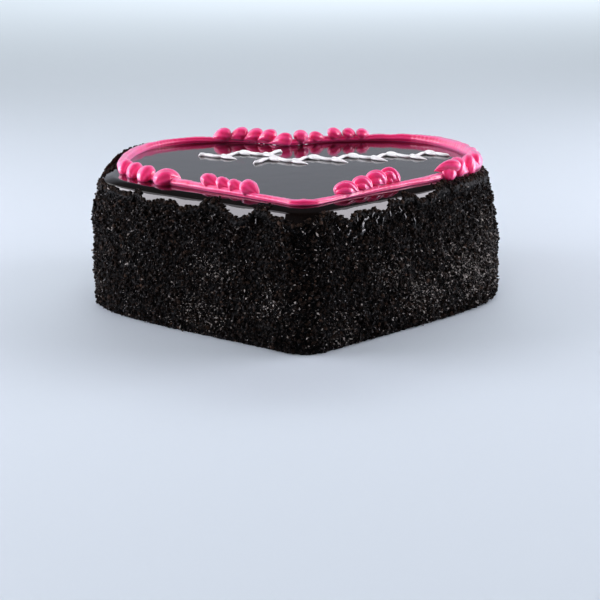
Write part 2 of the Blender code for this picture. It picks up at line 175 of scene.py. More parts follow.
floor_mesh = bpy.data.meshes.new("floor")
floor_mesh.from_pydata([(-FLOOR_HALF, -FLOOR_HALF, 0), (FLOOR_HALF, -FLOOR_HALF, 0),
                        (FLOOR_HALF, FLOOR_HALF, 0), (-FLOOR_HALF, FLOOR_HALF, 0)], [], [(0, 1, 2, 3)])
floor = bpy.data.objects.new("floor", floor_mesh)
bpy.context.scene.collection.objects.link(floor)
paper, tree, shader = new_finish("pale_paper")
set_shader(shader, Base_Color=linear(FLOOR_COLOUR), Roughness=0.9)
floor_mesh.materials.append(paper)

world = bpy.data.worlds.new("surroundings")
bpy.context.scene.world = world
world.use_nodes = True
tree = world.node_tree
way = add(tree, "ShaderNodeTexCoord")
axis = add(tree, "ShaderNodeSeparateXYZ", {"Vector": way.outputs["Generated"]})
behind = add(tree, "ShaderNodeMapRange", {"Value": axis.outputs["Y"]}, From_Min=FRONT_Y, From_Max=BEHIND_Y,
             To_Min=AROUND_SHADE, To_Max=1.0)
overhead = add(tree, "ShaderNodeMapRange", {"Value": axis.outputs["Z"]}, From_Min=HORIZON_Z,
               From_Max=OVERHEAD_Z, To_Min=1.0, To_Max=OVERHEAD_SHADE)
level = add(tree, "ShaderNodeMath", {0: behind.outputs["Result"], 1: overhead.outputs["Result"]},
            operation="MULTIPLY")
tree.nodes["Background"].inputs["Color"].default_value = linear(AROUND_BEHIND)
tree.links.new(level.outputs["Value"], tree.nodes["Background"].inputs["Strength"])

# %% Softboxes, window and fills
CAKE_MIDDLE = (0.0, 0.0, 0.05)
SOFTBOX_TINT = "#faf6ff"
WHITE = "#ffffff"
# Name, place, the point it faces, width, height, watts, tint, and whether glossy surfaces mirror it
LIGHTS = (
    ("low_softbox_left", (-0.85, 0.05, 0.21), CAKE_MIDDLE, 0.80, 0.40, 8.8, SOFTBOX_TINT, True),
    ("high_softbox_left", (-0.85, 0.05, 0.75), CAKE_MIDDLE, 0.80, 0.55, 2.2, SOFTBOX_TINT, True),
    ("low_softbox_right", (0.85, 0.05, 0.21), CAKE_MIDDLE, 0.80, 0.40, 8.8, SOFTBOX_TINT, True),
    ("high_softbox_right", (0.85, 0.05, 0.75), CAKE_MIDDLE, 0.80, 0.55, 2.2, SOFTBOX_TINT, True),
    ("window_back_left", (-1.4, 1.6, 1.1), CAKE_MIDDLE, 1.1, 1.5, 5.0, WHITE, True),
    ("top_fill", (0.0, -0.3, 1.6), CAKE_MIDDLE, 1.2, 1.2, 7.5, WHITE, False),
    ("far_fill", (0.8, 3.4, 2.6), (0.8, 3.6, 0.0), 4.0, 2.0, 182.0, WHITE, False),
    ("front_fill", (-0.5, -1.5, 1.0), CAKE_MIDDLE, 1.4, 1.0, 6.0, WHITE, False),
)


def area_light(name, at, aim, width, height, watts, tint, in_gloss):
    """A rectangular area light that faces a point."""
    data = bpy.data.lights.new(name, "AREA")
    data.shape = "RECTANGLE"
    data.size, data.size_y = width, height
    data.energy = watts
    data.color = linear(tint)[:3]
    light = bpy.data.objects.new(name, data)
    light.location = at
    light.rotation_euler = (Vector(aim) - Vector(at)).to_track_quat("-Z", "Y").to_euler()
    light.visible_glossy = in_gloss
    bpy.context.scene.collection.objects.link(light)
    print(name, "radiance", round(watts / (math.pi * width * height), 2))


for row in LIGHTS:
    area_light(*row)

# %% [markdown]
# ## The outline of the heart
#
# A baker cuts this heart with a tin: a tip with a small round, two nearly straight sides, a full lobe
# on each side and a notch at the back. Five Bezier pieces make the right half and a mirror makes the
# left. The rope of cream follows a second heart inside the first, piped by hand, so its two halves
# differ. The points along each heart are set at even spacing, because every ring of glaze, crumb and
# cream is built on them.

# %% Heart outlines
CORNER_PULL_IN = 0.55
CORNER_PULL_OUT = 0.45
BEZIER_SAMPLES = 200

CAKE_HEART = dict(tip_y=-108, tip_round=6.5, side_angle=41, half_width=105.5, widest_y=-4,
                  lobe_x=52, lobe_y=108, notch_y=88, notch_round=4, notch_angle=50,
                  side_pull=66, in_pull=28, out_pull=54, lobe_in=31, lobe_out=24, notch_pull=10)
ROPE_RIGHT = dict(tip_y=-94.5, tip_round=3.5, side_angle=45.5, half_width=96, widest_y=20,
                  lobe_x=49, lobe_y=91.5, notch_y=79.5, notch_round=2.5, notch_angle=42,
                  side_pull=74, in_pull=50, out_pull=45, lobe_in=29, lobe_out=18, notch_pull=14)
ROPE_LEFT = dict(ROPE_RIGHT, side_angle=46, half_width=90, widest_y=21, lobe_x=40, lobe_y=96,
                 side_pull=80, in_pull=36, out_pull=42, lobe_in=38, lobe_out=20)


def half_heart(tip_y, tip_round, side_angle, half_width, widest_y, lobe_x, lobe_y, notch_y,
               notch_round, notch_angle, side_pull, in_pull, out_pull, lobe_in, lobe_out, notch_pull):
    """Right half of a heart in millimetres as Bezier segments, from the tip round to the notch."""
    side = Vector((math.cos(math.radians(side_angle)), math.sin(math.radians(side_angle)), 0.0))
    fall = Vector((math.cos(math.radians(notch_angle)), math.sin(math.radians(notch_angle)), 0.0))
    right = Vector((1.0, 0.0, 0.0))
    back = Vector((0.0, 1.0, 0.0))
    tip = Vector((0.0, tip_y, 0.0))
    past_tip = tip + (right + side) * tip_round
    widest = Vector((half_width, widest_y, 0.0))
    lobe = Vector((lobe_x, lobe_y, 0.0))
    notch = Vector((0.0, notch_y, 0.0))
    by_notch = notch + (right + fall) * notch_round
    tip_in = tip + right * tip_round * CORNER_PULL_IN
    tip_out = past_tip - side * tip_round * CORNER_PULL_OUT
    notch_in = by_notch - fall * notch_round * CORNER_PULL_OUT
    notch_out = notch + right * notch_round * CORNER_PULL_IN
    return [
        (tip, tip_in, tip_out, past_tip),
        (past_tip, past_tip + side * side_pull, widest - back * in_pull, widest),
        (widest, widest + back * out_pull, lobe + right * lobe_in, lobe),
        (lobe, lobe - right * lobe_out, by_notch + fall * notch_pull, by_notch),
        (by_notch, notch_in, notch_out, notch),
    ]


def mirrored(segments):
    """The other half, run the other way, so that the two halves close into one loop."""
    flip = Matrix.Scale(-1.0, 3, Vector((1.0, 0.0, 0.0)))
    return [tuple(flip @ p for p in reversed(seg)) for seg in reversed(segments)]


def even_points(segments, count):
    """Points in metres at even spacing round a closed chain of Bezier segments."""
    dense = []
    for a, a_pull, b_pull, b in segments:
        dense += [tuple(p) for p in interpolate_bezier(a, a_pull, b_pull, b, BEZIER_SAMPLES)[:-1]]
    dense = np.array(dense + dense[:1])[:, :2] * MM
    run = np.concatenate(([0.0], np.cumsum(np.linalg.norm(np.diff(dense, axis=0), axis=1))))
    at = np.linspace(0.0, run[-1], count, endpoint=False)
    return np.column_stack([np.interp(at, run, dense[:, k]) for k in range(2)])


def outward(points):
    """Unit normals of a closed loop that runs anticlockwise."""
    along = np.roll(points, -1, axis=0) - np.roll(points, 1, axis=0)
    along /= np.linalg.norm(along, axis=1)[:, None]
    return np.column_stack((along[:, 1], -along[:, 0]))


def at_share(loop, share):
    """Values of a loop of rows at shares 0 to 1 of its length, between the rows too."""
    place = np.mod(np.asarray(share, dtype=float), 1.0) * len(loop)
    low = np.floor(place).astype(int) % len(loop)
    part = (place - np.floor(place))[..., None]
    return loop[low] * (1.0 - part) + loop[(low + 1) % len(loop)] * part


LINE_POINTS = 2400
cake_line = even_points(half_heart(**CAKE_HEART) + mirrored(half_heart(**CAKE_HEART)), LINE_POINTS)
cake_out = outward(cake_line)
rope_line = even_points(half_heart(**ROPE_RIGHT) + mirrored(half_heart(**ROPE_LEFT)), LINE_POINTS)
rope_out = outward(rope_line)
cake_length = float(np.linalg.norm(np.roll(cake_line, -1, axis=0) - cake_line, axis=1).sum())
rope_length = float(np.linalg.norm(np.roll(rope_line, -1, axis=0) - rope_line, axis=1).sum())
print("round the cake", round(cake_length / MM), "mm, round the rope", round(rope_length / MM), "mm")

# %% [markdown]
# ## The side seen in section
#
# Cut through the rim, the cake has a flat top that begins to fall just outside the rope, a shoulder a
# few millimetres wide that ends in a quick corner, a side that leans in a little towards the top, and a
# foot tucked in where the cake stands. At the left and the right the side leans in further. One
# function gives this section, so that the glaze and every crumb that sticks to it agree on where the
# surface is.

# %% Section of the rim
CAKE_HEIGHT = 67 * MM
SHOULDER_WIDTH = 5.4 * MM
SHOULDER_HEIGHT = 1.6 * MM
SHOULDER_POWER = 1.3
SET_BACK = 0.9 * MM
BASE_TUCK = 1.2 * MM
BASE_TUCK_HEIGHT = 8 * MM
TOP_LEAN = 0.8 * MM
TOP_LEAN_START = 40 * MM
RIM_LEAN = 2.8 * MM
RIM_LEAN_HEIGHT = 14 * MM
RIM_LEAN_POWER = 1.5
# Where the side leans in more: from one share of the outline to another, above a height in mm, by how
# many mm at the top, and how much of the shoulder's width it takes away
LEANS = ((0.09, 0.36, 30.0, 5.3, 0.65), (0.62, 0.87, 45.0, 4.4, 0.15))


def wall_inset(z):
    """How far the side lies inside the widest outline at height z."""
    low = np.clip(1.0 - z / BASE_TUCK_HEIGHT, 0.0, 1.0)
    high = np.clip((z - TOP_LEAN_START) / (CAKE_HEIGHT - TOP_LEAN_START), 0.0, 1.0)
    rim = np.clip(1.0 - (CAKE_HEIGHT - z) / RIM_LEAN_HEIGHT, 0.0, 1.0)
    return BASE_TUCK * low ** 2 + TOP_LEAN * high ** 2 + RIM_LEAN * rim ** RIM_LEAN_POWER


FLAT_INSET = float(wall_inset(CAKE_HEIGHT)) + SET_BACK + SHOULDER_WIDTH


def section(below):
    """Inset and height of the glaze at a depth below the top; negative depths run in over the top."""
    below = np.asarray(below, dtype=float)
    depth = np.clip(below, 0.0, SHOULDER_HEIGHT)
    fall = (depth / SHOULDER_HEIGHT) ** (1.0 / SHOULDER_POWER)
    z = CAKE_HEIGHT - np.maximum(below, 0.0)
    inset = wall_inset(z) + SET_BACK + SHOULDER_WIDTH * (1.0 - fall)
    inset = np.where(below < 0.0, FLAT_INSET - below, inset)
    return inset, z


NORMAL_STEP = 0.05 * MM


def section_normal(below):
    """Unit normal of the section as (outward, up)."""
    inset_a, z_a = section(below - NORMAL_STEP)
    inset_b, z_b = section(below + NORMAL_STEP)
    out, up = z_a - z_b, inset_a - inset_b
    size = np.hypot(out, up)
    return out / size, up / size


def on_side(share, below, lift=0.0):
    """Points on the cake's outside at shares of its outline and depths below the top, lifted outward."""
    base = at_share(cake_line, share)
    way = at_share(cake_out, share)
    inset, z = section(below)
    out, up = section_normal(below)
    wall = wall_inset(z)
    for start, end, above, lean, tight in LEANS:
        part = np.clip((np.mod(share, 1.0) - start) / (end - start), 0.0, 1.0)
        near = 0.5 - 0.5 * np.cos(2.0 * math.pi * part)
        high = np.clip((z - above * MM) / (CAKE_HEIGHT - above * MM), 0.0, 1.0)
        inset = inset - tight * near * (inset - wall) + lean * MM * near * high
    xy = base + way * (lift * out - inset)[..., None]
    return np.concatenate((xy, (z + lift * up)[..., None]), axis=-1)


print("section 0, 4, 8 mm below the top, inset mm:", np.round(section(np.array([0, 4, 8]) * MM)[0] / MM, 2))

# %% [markdown]
# ## From points to a piece
#
# Glaze, rope, shells and vines are all skins over rings of points, and a mesh is written straight from
# arrays, because that is quick enough for tens of thousands of crumbs too. A skin is closed round, and
# closed at its ends by a small fan, or by a flat cap where the piece is wide. It can carry a value at
# each point, such as how deep in a groove the point lies, which the finish uses for colour.

# %% Mesh helpers
def mesh_from(name, points, faces, finish, smooth=True, values=None):
    """A piece from points and faces of equal length, with a value at each point where one is given."""
    faces = np.asarray(faces)
    corners = faces.shape[1]
    mesh = bpy.data.meshes.new(name)
    mesh.vertices.add(len(points))
    mesh.vertices.foreach_set("co", np.asarray(points, dtype=np.float32).ravel())
    mesh.loops.add(faces.size)
    mesh.loops.foreach_set("vertex_index", faces.astype(np.int32).ravel())
    mesh.polygons.add(len(faces))
    mesh.polygons.foreach_set("loop_start", np.arange(0, faces.size, corners, dtype=np.int32))
    mesh.polygons.foreach_set("use_smooth", np.full(len(faces), smooth))
    mesh.update(calc_edges=True)
    mesh.validate()
    for label, column in (values or {}).items():
        layer = mesh.attributes.new(label, "FLOAT", "POINT")
        layer.data.foreach_set("value", np.asarray(column, dtype=np.float32).ravel())
    mesh.materials.append(finish)
    piece = bpy.data.objects.new(name, mesh)
    bpy.context.scene.collection.objects.link(piece)
    return piece


def skin(grid, start, looped):
    """Points and triangles over rings of points; the ends close in a fan unless the rings form a loop."""
    rings, around = grid.shape[:2]
    index = np.arange(rings * around).reshape(rings, around)
    a = index if looped else index[:-1]
    b = np.roll(index, -1, axis=0) if looped else index[1:]
    a_next, b_next = np.roll(a, -1, axis=1), np.roll(b, -1, axis=1)
    faces = [np.stack((a, b, b_next), -1).reshape(-1, 3), np.stack((a, b_next, a_next), -1).reshape(-1, 3)]
    points = grid.reshape(-1, 3)
    if not looped:
        ends = np.stack((grid[0].mean(axis=0), grid[-1].mean(axis=0)))
        first, last = len(points), len(points) + 1
        points = np.concatenate((points, ends))
        faces.append(np.stack((index[0], np.roll(index[0], -1), np.full(around, first)), -1))
        faces.append(np.stack((np.roll(index[-1], -1), index[-1], np.full(around, last)), -1))
    return points, np.concatenate(faces) + start


def piece_from_skins(name, skins, finish, values=()):
    """One piece from several grids, each with its own values at the points where the finish needs them."""
    points, faces, start = [], [], 0
    columns = {label: [] for label in values}
    for k, (grid, looped) in enumerate(skins):
        p, f = skin(grid, start, looped)
        points.append(p)
        faces.append(f)
        start += len(p)
        for label in values:
            column = values[label][k].ravel()
            if not looped:
                column = np.concatenate((column, [column[0], column[-1]]))
            columns[label].append(column)
    columns = {label: np.concatenate(parts) for label, parts in columns.items()}
    piece = mesh_from(name, np.concatenate(points), np.concatenate(faces), finish, True, columns)
    print(name, "triangles", len(piece.data.polygons))
    return piece


def capped_piece(name, grid, finish, smooth, values=None):
    """A closed piece from rings of points: quads between the rings and a flat cap over each end."""
    rings, around = grid.shape[:2]
    index = np.arange(rings * around).reshape(rings, around)
    a, b = index[:-1], index[1:]
    quads = np.stack((a, np.roll(a, -1, axis=1), np.roll(b, -1, axis=1), b), -1).reshape(-1, 4)
    piece = mesh_from(name, grid.reshape(-1, 3), quads, finish, smooth, values)
    bm = bmesh.new()
    bm.from_mesh(piece.data)
    bm.verts.ensure_lookup_table()
    caps = [bm.faces.new([bm.verts[i] for i in end]) for end in (index[0][::-1], index[-1])]
    bmesh.ops.triangulate(bm, faces=caps)
    bmesh.ops.recalc_face_normals(bm, faces=bm.faces)
    bm.to_mesh(piece.data)
    bm.free()
    print(name, "faces", len(piece.data.polygons))
    return piece


def circle(count):
    """Angles evenly spaced round a circle."""
    return np.arange(count) / count * 2.0 * math.pi


def soft_noise(count, waves, rng):
    """A smooth closed wobble between -1 and 1 with up to the given number of waves in it."""
    total = np.zeros(count)
    for k in range(max(1, waves // 2), waves + 1):
        total += np.sin(k * circle(count) + rng.uniform(0.0, 2.0 * math.pi)) * rng.uniform(0.4, 1.0)
    return total / np.abs(total).max()


def hump(x, middle, reach):
    """One in the middle, nearly flat there, and falling to nothing past the reach."""
    return np.exp(-((x - middle) / reach) ** 4)


print("a circle of four:", np.round(circle(4), 2))

# %% [markdown]
# ## Where the crumbs end
#
# The crumb coat stops below the rim in a ragged line: bays of bare glaze, and points where the crumbs
# climb to the top. Both the skirt of glaze and the crumbs need this line, so it comes first. It is
# given as a row of places round the cake, close together where the photograph shows the bays, with a
# small seeded wobble between them.

# %% The ragged upper edge
# Share of the way round from the tip, and how far below the top the crumbs end there, in mm
CRUMB_EDGE = (
    (0.0, 4.4), (0.004, 4.9), (0.008, 3.8), (0.013, 2.4), (0.021, 1.8), (0.025, 2.7), (0.027, 3.6),
    (0.0335, 5.6), (0.036, 7.2), (0.0405, 6.0), (0.045, 4.4), (0.051, 4.3), (0.058, 4.3), (0.064, 4.5),
    (0.069, 7.0), (0.0755, 5.2), (0.0785, 1.8), (0.0855, 2.6), (0.0895, 3.7), (0.0935, 0.9), (0.100, 0.8),
    (0.1025, 2.0), (0.106, 4.6), (0.113, 4.5), (0.120, 3.7), (0.129, 0.6), (0.1485, 0.2), (0.165, 0.2),
    (0.185, 0.5), (0.210, 0.9), (0.250, 1.4), (0.300, 1.2), (0.350, 1.6), (0.420, 0.8), (0.500, 1.5),
    (0.570, 0.8), (0.640, 1.7), (0.680, 0.9), (0.720, 0.7), (0.752, 0.8), (0.768, 2.0), (0.785, 2.2),
    (0.810, 2.5), (0.817, 2.4), (0.823, 2.3), (0.831, 3.1), (0.835, 3.4), (0.8415, 2.7), (0.845, 4.3),
    (0.8475, 0.9), (0.8515, 0.8), (0.857, 5.0), (0.860, 5.7), (0.868, 5.1), (0.872, 4.1), (0.878, 4.0),
    (0.8835, 3.3), (0.890, 4.9), (0.8945, 6.3), (0.901, 5.1), (0.9095, 3.8), (0.9125, 1.0), (0.9195, 1.2),
    (0.9255, 1.0), (0.9285, 1.9), (0.933, 3.8), (0.938, 6.1), (0.9435, 7.1), (0.950, 5.9), (0.9545, 4.4),
    (0.957, 0.9), (0.967, 1.0), (0.971, 4.2), (0.983, 4.6), (0.992, 6.2), (0.996, 6.2), (1.0, 4.4),
)
# Waves round the cake, and their height in mm
EDGE_WOBBLES = ((300, 0.8), (140, 0.4))
CRUMB_SEED = 11
rng = np.random.default_rng(CRUMB_SEED)
edge_share, edge_depth = np.array(CRUMB_EDGE).T
edge_wobble = sum(soft_noise(LINE_POINTS, waves, rng) * size for waves, size in EDGE_WOBBLES)


def crumb_edge(share):
    """How far below the top the crumbs end, in metres."""
    share = np.mod(share, 1.0)
    wobble = np.interp(share * LINE_POINTS, np.arange(LINE_POINTS), edge_wobble)
    return (np.interp(share, edge_share, edge_depth) + wobble) * MM


print("crumb edge from", round(min(edge_depth), 1), "to", round(max(edge_depth), 1), "mm below the top")

# %% [markdown]
# ## Mirror glaze
#
# The glaze is cocoa, sugar and gelatine, poured warm and left to run. It sets as a skin a millimetre
# or two thick, nearly black and as bright as lacquer. Most of what the eye sees in it is reflection:
# grey from the surroundings on the flat top, white from the softboxes on the steep rim. So the finish is
# a dark colour with a low roughness, and its life comes from very slight swells in the surface.

# %% Finish: set chocolate mirror glaze
GLAZE_SWELL_MM = 26.0
GLAZE_FILM_MM = 3.0
set_glaze, tree, shader = new_finish("set_chocolate_mirror_glaze")
# A sugar and gelatine film has an IOR near 1.5 and is almost free of scatter: a crisp mirror.
set_shader(shader, Base_Color=linear("#0b0706"), Roughness=0.07, IOR=1.5)
place = add(tree, "ShaderNodeTexCoord")
swell = add(tree, "ShaderNodeTexNoise", {"Vector": place.outputs["Object"]},
            Scale=1000.0 / GLAZE_SWELL_MM, Detail=2.0)
film = add(tree, "ShaderNodeTexNoise", {"Vector": place.outputs["Object"]},
           Scale=1000.0 / GLAZE_FILM_MM, Detail=3.0)
swell_bump = add(tree, "ShaderNodeBump", {"Height": swell.outputs["Fac"]}, Strength=0.25, Distance=0.0006)
film_bump = add(tree, "ShaderNodeBump",
                {"Height": film.outputs["Fac"], "Normal": swell_bump.outputs["Normal"]},
                Strength=0.15, Distance=0.0001)
tree.links.new(film_bump.outputs["Normal"], shader.inputs["Normal"])
haze = add(tree, "ShaderNodeMapRange", {"Value": film.outputs["Fac"]}, From_Min=0.35, From_Max=0.75,
           To_Min=0.05, To_Max=0.13)
tree.links.new(haze.outputs["Result"], shader.inputs["Roughness"])
tone = add(tree, "ShaderNodeMix", {"Factor": swell.outputs["Fac"]}, data_type="RGBA",
           i6=linear("#080504"), i7=linear("#120b09"))
tree.links.new(tone.outputs[2], shader.inputs["Base Color"])

# %% The lid of glaze
GLAZE_COLUMNS = 1200
GLAZE_THICKNESS = 1.5 * MM
SKIRT_UNDER_CRUMBS = 2.0 * MM
FLAT_EDGE = -1.5 * MM
SKIRT_RINGS = 7
FALL_RINGS = 14

shares = np.arange(GLAZE_COLUMNS) / GLAZE_COLUMNS
hem = np.maximum(crumb_edge(shares), SHOULDER_HEIGHT) + SKIRT_UNDER_CRUMBS
# The rings run from inside under the top, out and down to the hem, and back up over the outside
skirt = np.linspace(1.0, 0.0, SKIRT_RINGS)[:-1, None] * (hem - SHOULDER_HEIGHT) + SHOULDER_HEIGHT
falls = SHOULDER_HEIGHT * np.linspace(1.0, 0.0, FALL_RINGS) ** SHOULDER_POWER
flat_edge, shoulder = (np.full(GLAZE_COLUMNS, depth) for depth in (FLAT_EDGE, SHOULDER_HEIGHT))
rings = [on_side(shares, depth, -GLAZE_THICKNESS) for depth in (flat_edge, shoulder, hem)]
rings += [on_side(shares, below) for below in skirt]
rings += [on_side(shares, np.full(GLAZE_COLUMNS, fall)) for fall in falls]
rings.append(on_side(shares, flat_edge))
glaze_lid = capped_piece("mirror_glaze_lid", np.stack(rings), set_glaze, True)
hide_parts("chocolate_glaze")
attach(glaze_lid, "root")

# %% [markdown]
# ## Crumbs
#
# The side was pressed full of chocolate sponge crumbs while the glaze was still tacky. Close up it is a
# bed of grains from a third of a millimetre to three, dark brown to nearly black, with dusty ones
# between, whose pale colour also paints glints, and here and there a chip that flashes in the light. A
# bump map would look flat at the outline of the cake, so the bed is real relief, painted nearly black as
# the shade in the gaps between grains, and tens of thousands of real, irregular grains stand on it, each
# kind of grain as one mesh.

# %% Finish: chocolate sponge crumb
CRUMB_GRAIN_MM = 0.9
CRUMB_PORE_MM = 0.35
CRUMB_SHINE = 0.07
CHIP_SHINE = 0.8


def crumb_finish(name, dark, light, rough_low, rough_high, shine):
    """Dry cocoa crumb: matt and porous, paler where dusty or where a pale grain paints a glint, with a slight
    fat shine on flat facets.
    """
    finish, tree, shader = new_finish(name)
    # Cocoa butter has an IOR near 1.47; pores swallow most of its gloss, save on a clean broken chip.
    set_shader(shader, IOR=1.47, Specular_IOR_Level=shine)
    place = add(tree, "ShaderNodeTexCoord")
    grain = add(tree, "ShaderNodeTexNoise", {"Vector": place.outputs["Object"]},
                Scale=1000.0 / CRUMB_GRAIN_MM, Detail=3.0)
    pores = add(tree, "ShaderNodeTexVoronoi", {"Vector": place.outputs["Object"]},
                Scale=1000.0 / CRUMB_PORE_MM)
    own = add(tree, "ShaderNodeAttribute", attribute_name="tone")
    mixed = add(tree, "ShaderNodeMath", {0: grain.outputs["Fac"], 1: own.outputs["Fac"]},
                operation="MULTIPLY")
    tone = add(tree, "ShaderNodeMix", {"Factor": mixed.outputs["Value"]}, data_type="RGBA",
               i6=linear(dark), i7=linear(light))
    tree.links.new(tone.outputs[2], shader.inputs["Base Color"])
    rough = add(tree, "ShaderNodeMapRange", {"Value": own.outputs["Fac"]}, To_Min=rough_low,
                To_Max=rough_high)
    tree.links.new(rough.outputs["Result"], shader.inputs["Roughness"])
    bump = add(tree, "ShaderNodeBump", {"Height": pores.outputs["Distance"]}, Strength=0.5, Distance=0.0002)
    tree.links.new(bump.outputs["Normal"], shader.inputs["Normal"])
    return finish


dark_crumb = crumb_finish("dark_sponge_crumb", "#010000", "#5e4a3f", 0.4, 0.8, CRUMB_SHINE)
# The pale end of this finish is partly sugar dust and partly painted glints off shiny crumbs
dust_glint_crumb = crumb_finish("dust_glint_sponge_crumb", "#3a302a", "#e6ded8", 0.3, 0.6, CRUMB_SHINE)
chip_gloss = crumb_finish("broken_chocolate_chip", "#080403", "#24160f", 0.10, 0.28, CHIP_SHINE)

# %% The bed under the grains
BED_COLUMNS = 1000
BED_ROWS = 56
# Above one, this packs the rows closer together towards the ragged edge
BED_ROW_POWER = 1.7
# The bed lies over the skirt of glaze at its edge and sinks further down, to leave room for the grains
BED_EDGE_LIFT = 0.3 * MM
BED_LIFT = -1.8 * MM
BED_EASE_FROM = 2.4 * MM
BED_EASE = 3.0 * MM
BED_ROUGH = 0.6 * MM
BED_LAST_LIFTS = (0.1 * MM, -0.3 * MM)
# Inside, the bed turns in under the glaze at this depth, first below the edge and then under the top
BED_INSIDE = -2.2 * MM
BED_INSIDE_EDGE = 0.5 * MM
BED_INSIDE_END = -6.0 * MM

shares = np.arange(BED_COLUMNS) / BED_COLUMNS
edge = crumb_edge(shares)
levels = 1.0 - (1.0 - np.linspace(0.0, 1.0, BED_ROWS)[:, None]) ** BED_ROW_POWER
below = CAKE_HEIGHT - (CAKE_HEIGHT - edge[None, :]) * levels
rough = rng.uniform(-1.0, 1.0, below.shape)
rough = 0.6 * rough + 0.4 * np.roll(rough, 1, axis=1)
ease = np.clip((below - np.maximum(edge, SHOULDER_HEIGHT) - BED_EASE_FROM) / BED_EASE, 0.0, 1.0)
lift = BED_EDGE_LIFT + (BED_LIFT - BED_EDGE_LIFT) * ease + BED_ROUGH * rough * (0.4 + 0.6 * ease)
lift[-2:] = np.array(BED_LAST_LIFTS)[:, None]
rings = [on_side(shares, row, row_lift) for row, row_lift in zip(below, lift)]
for depth in (np.maximum(edge, BED_INSIDE_EDGE), np.full(BED_COLUMNS, BED_INSIDE_END)):
    rings.append(on_side(shares, depth, np.full(BED_COLUMNS, BED_INSIDE)))
rings[0][:, 2] = 0.0
grid = np.stack(rings)
grid[..., 2] = np.maximum(grid[..., 2], 0.0)
# The bed takes the darkest tone all over: painted shade for the deep gaps between grains
crumb_bed_with_gap_shade = capped_piece("crumb_bed_with_gap_shade", grid, dark_crumb, False, {"tone": np.zeros(grid.shape[:2])})
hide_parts("cake_body")
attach(crumb_bed_with_gap_shade, "root")

# %% [markdown]
# ## Grains
#
# A sponge crumb is a small broken lump, and a flake of it or of chocolate is a shard. A few irregular
# shapes of both kinds are made once and then turned, sized and set down thousands of times. Real mesh is
# used, not copies of one object.

# %% Irregular grains
GRAIN_SHAPES = 14
# Radii as shares of a grain's size, and the random factors that break a form and squash it
GRAIN_SQUASH = (0.7, 1.15)
LUMP_RADIUS, LUMP_BREAK = 0.5, (0.62, 1.25)
SHARD_RADIUS, SHARD_BREAK = 0.55, (0.55, 1.2)


def broken_shapes(points, low, high):
    """Several irregular variants of one small closed form."""
    out = []
    for _ in range(GRAIN_SHAPES):
        out.append(points * rng.uniform(low, high, (len(points), 1)) * rng.uniform(*GRAIN_SQUASH, 3))
    return np.array(out)


bm = bmesh.new()
bmesh.ops.create_icosphere(bm, subdivisions=1, radius=LUMP_RADIUS)
ball = np.array([v.co[:] for v in bm.verts])
ball_faces = np.array([[v.index for v in f.verts] for f in bm.faces])
bm.free()
shard = np.array([(1, 0, 0), (0, 1, 0), (-1, 0, 0), (0, -1, 0), (0, 0, 1), (0, 0, -1)]) * SHARD_RADIUS
shard_faces = np.array([face for k in range(4) for face in ((k, (k + 1) % 4, 4), ((k + 1) % 4, k, 5))])
GRAINS = {"lump": (broken_shapes(ball, *LUMP_BREAK), ball_faces),
          "shard": (broken_shapes(shard, *SHARD_BREAK), shard_faces)}
print("faces of a grain:", {kind: len(faces) for kind, (_, faces) in GRAINS.items()})


def random_turns(count, rng):
    """Random rotation matrices, from random unit quaternions."""
    q = rng.normal(size=(count, 4))
    q /= np.linalg.norm(q, axis=1)[:, None]
    w, x, y, z = q.T
    return np.stack((1 - 2 * (y * y + z * z), 2 * (x * y - z * w), 2 * (x * z + y * w),
                     2 * (x * y + z * w), 1 - 2 * (x * x + z * z), 2 * (y * z - x * w),
                     2 * (x * z - y * w), 2 * (y * z + x * w), 1 - 2 * (x * x + y * y)),
                    -1).reshape(-1, 3, 3)


ROPE_CHECK_STEP = 8
ROPE_CHECK_FROM = CAKE_HEIGHT - 3 * MM
ROPE_CLEAR = 1.5 * MM


def outside_rope(centres):
    """Which places lie outside the rope, so that no crumb lands on the bare top."""
    line, way = rope_line[::ROPE_CHECK_STEP], rope_out[::ROPE_CHECK_STEP]
    keep = np.ones(len(centres), dtype=bool)
    for k in np.flatnonzero(centres[:, 2] > ROPE_CHECK_FROM):
        near = np.argmin(((line - centres[k, :2]) ** 2).sum(axis=1))
        keep[k] = (centres[k, :2] - line[near]) @ way[near] > -ROPE_CLEAR
    return keep


def scatter_grains(name, kind, centres, sizes, tones, finish, stretch=(1.0, 1.0, 1.0)):
    """Real grains at the given places: one mesh for the whole kind."""
    keep = outside_rope(centres)
    centres, sizes, tones = centres[keep], sizes[keep], tones[keep]
    count = len(centres)
    shapes, shape_faces = GRAINS[kind]
    corners = shapes.shape[1]
    kinds = shapes[rng.integers(0, GRAIN_SHAPES, count)] * np.array(stretch)
    turned = np.einsum("nij,nkj->nki", random_turns(count, rng), kinds) * sizes[:, None, None]
    points = (turned + centres[:, None, :]).reshape(-1, 3)
    faces = (shape_faces[None] + np.arange(count)[:, None, None] * corners).reshape(-1, 3)
    grains = mesh_from(name, points, faces, finish, False, {"tone": np.repeat(tones, corners)})
    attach(grains, "root")
    print(name, count, "grains,", len(faces), "triangles")

# %% Places for grains on the bed
CLUMP_MM = 4.5
CLUMP_LIFT = 0.7 * MM
clump_columns = int(cake_length / MM / CLUMP_MM)
clump_rows = int(CAKE_HEIGHT / MM / CLUMP_MM) + 2
clump_table = rng.uniform(-1.0, 1.0, (clump_columns, clump_rows))


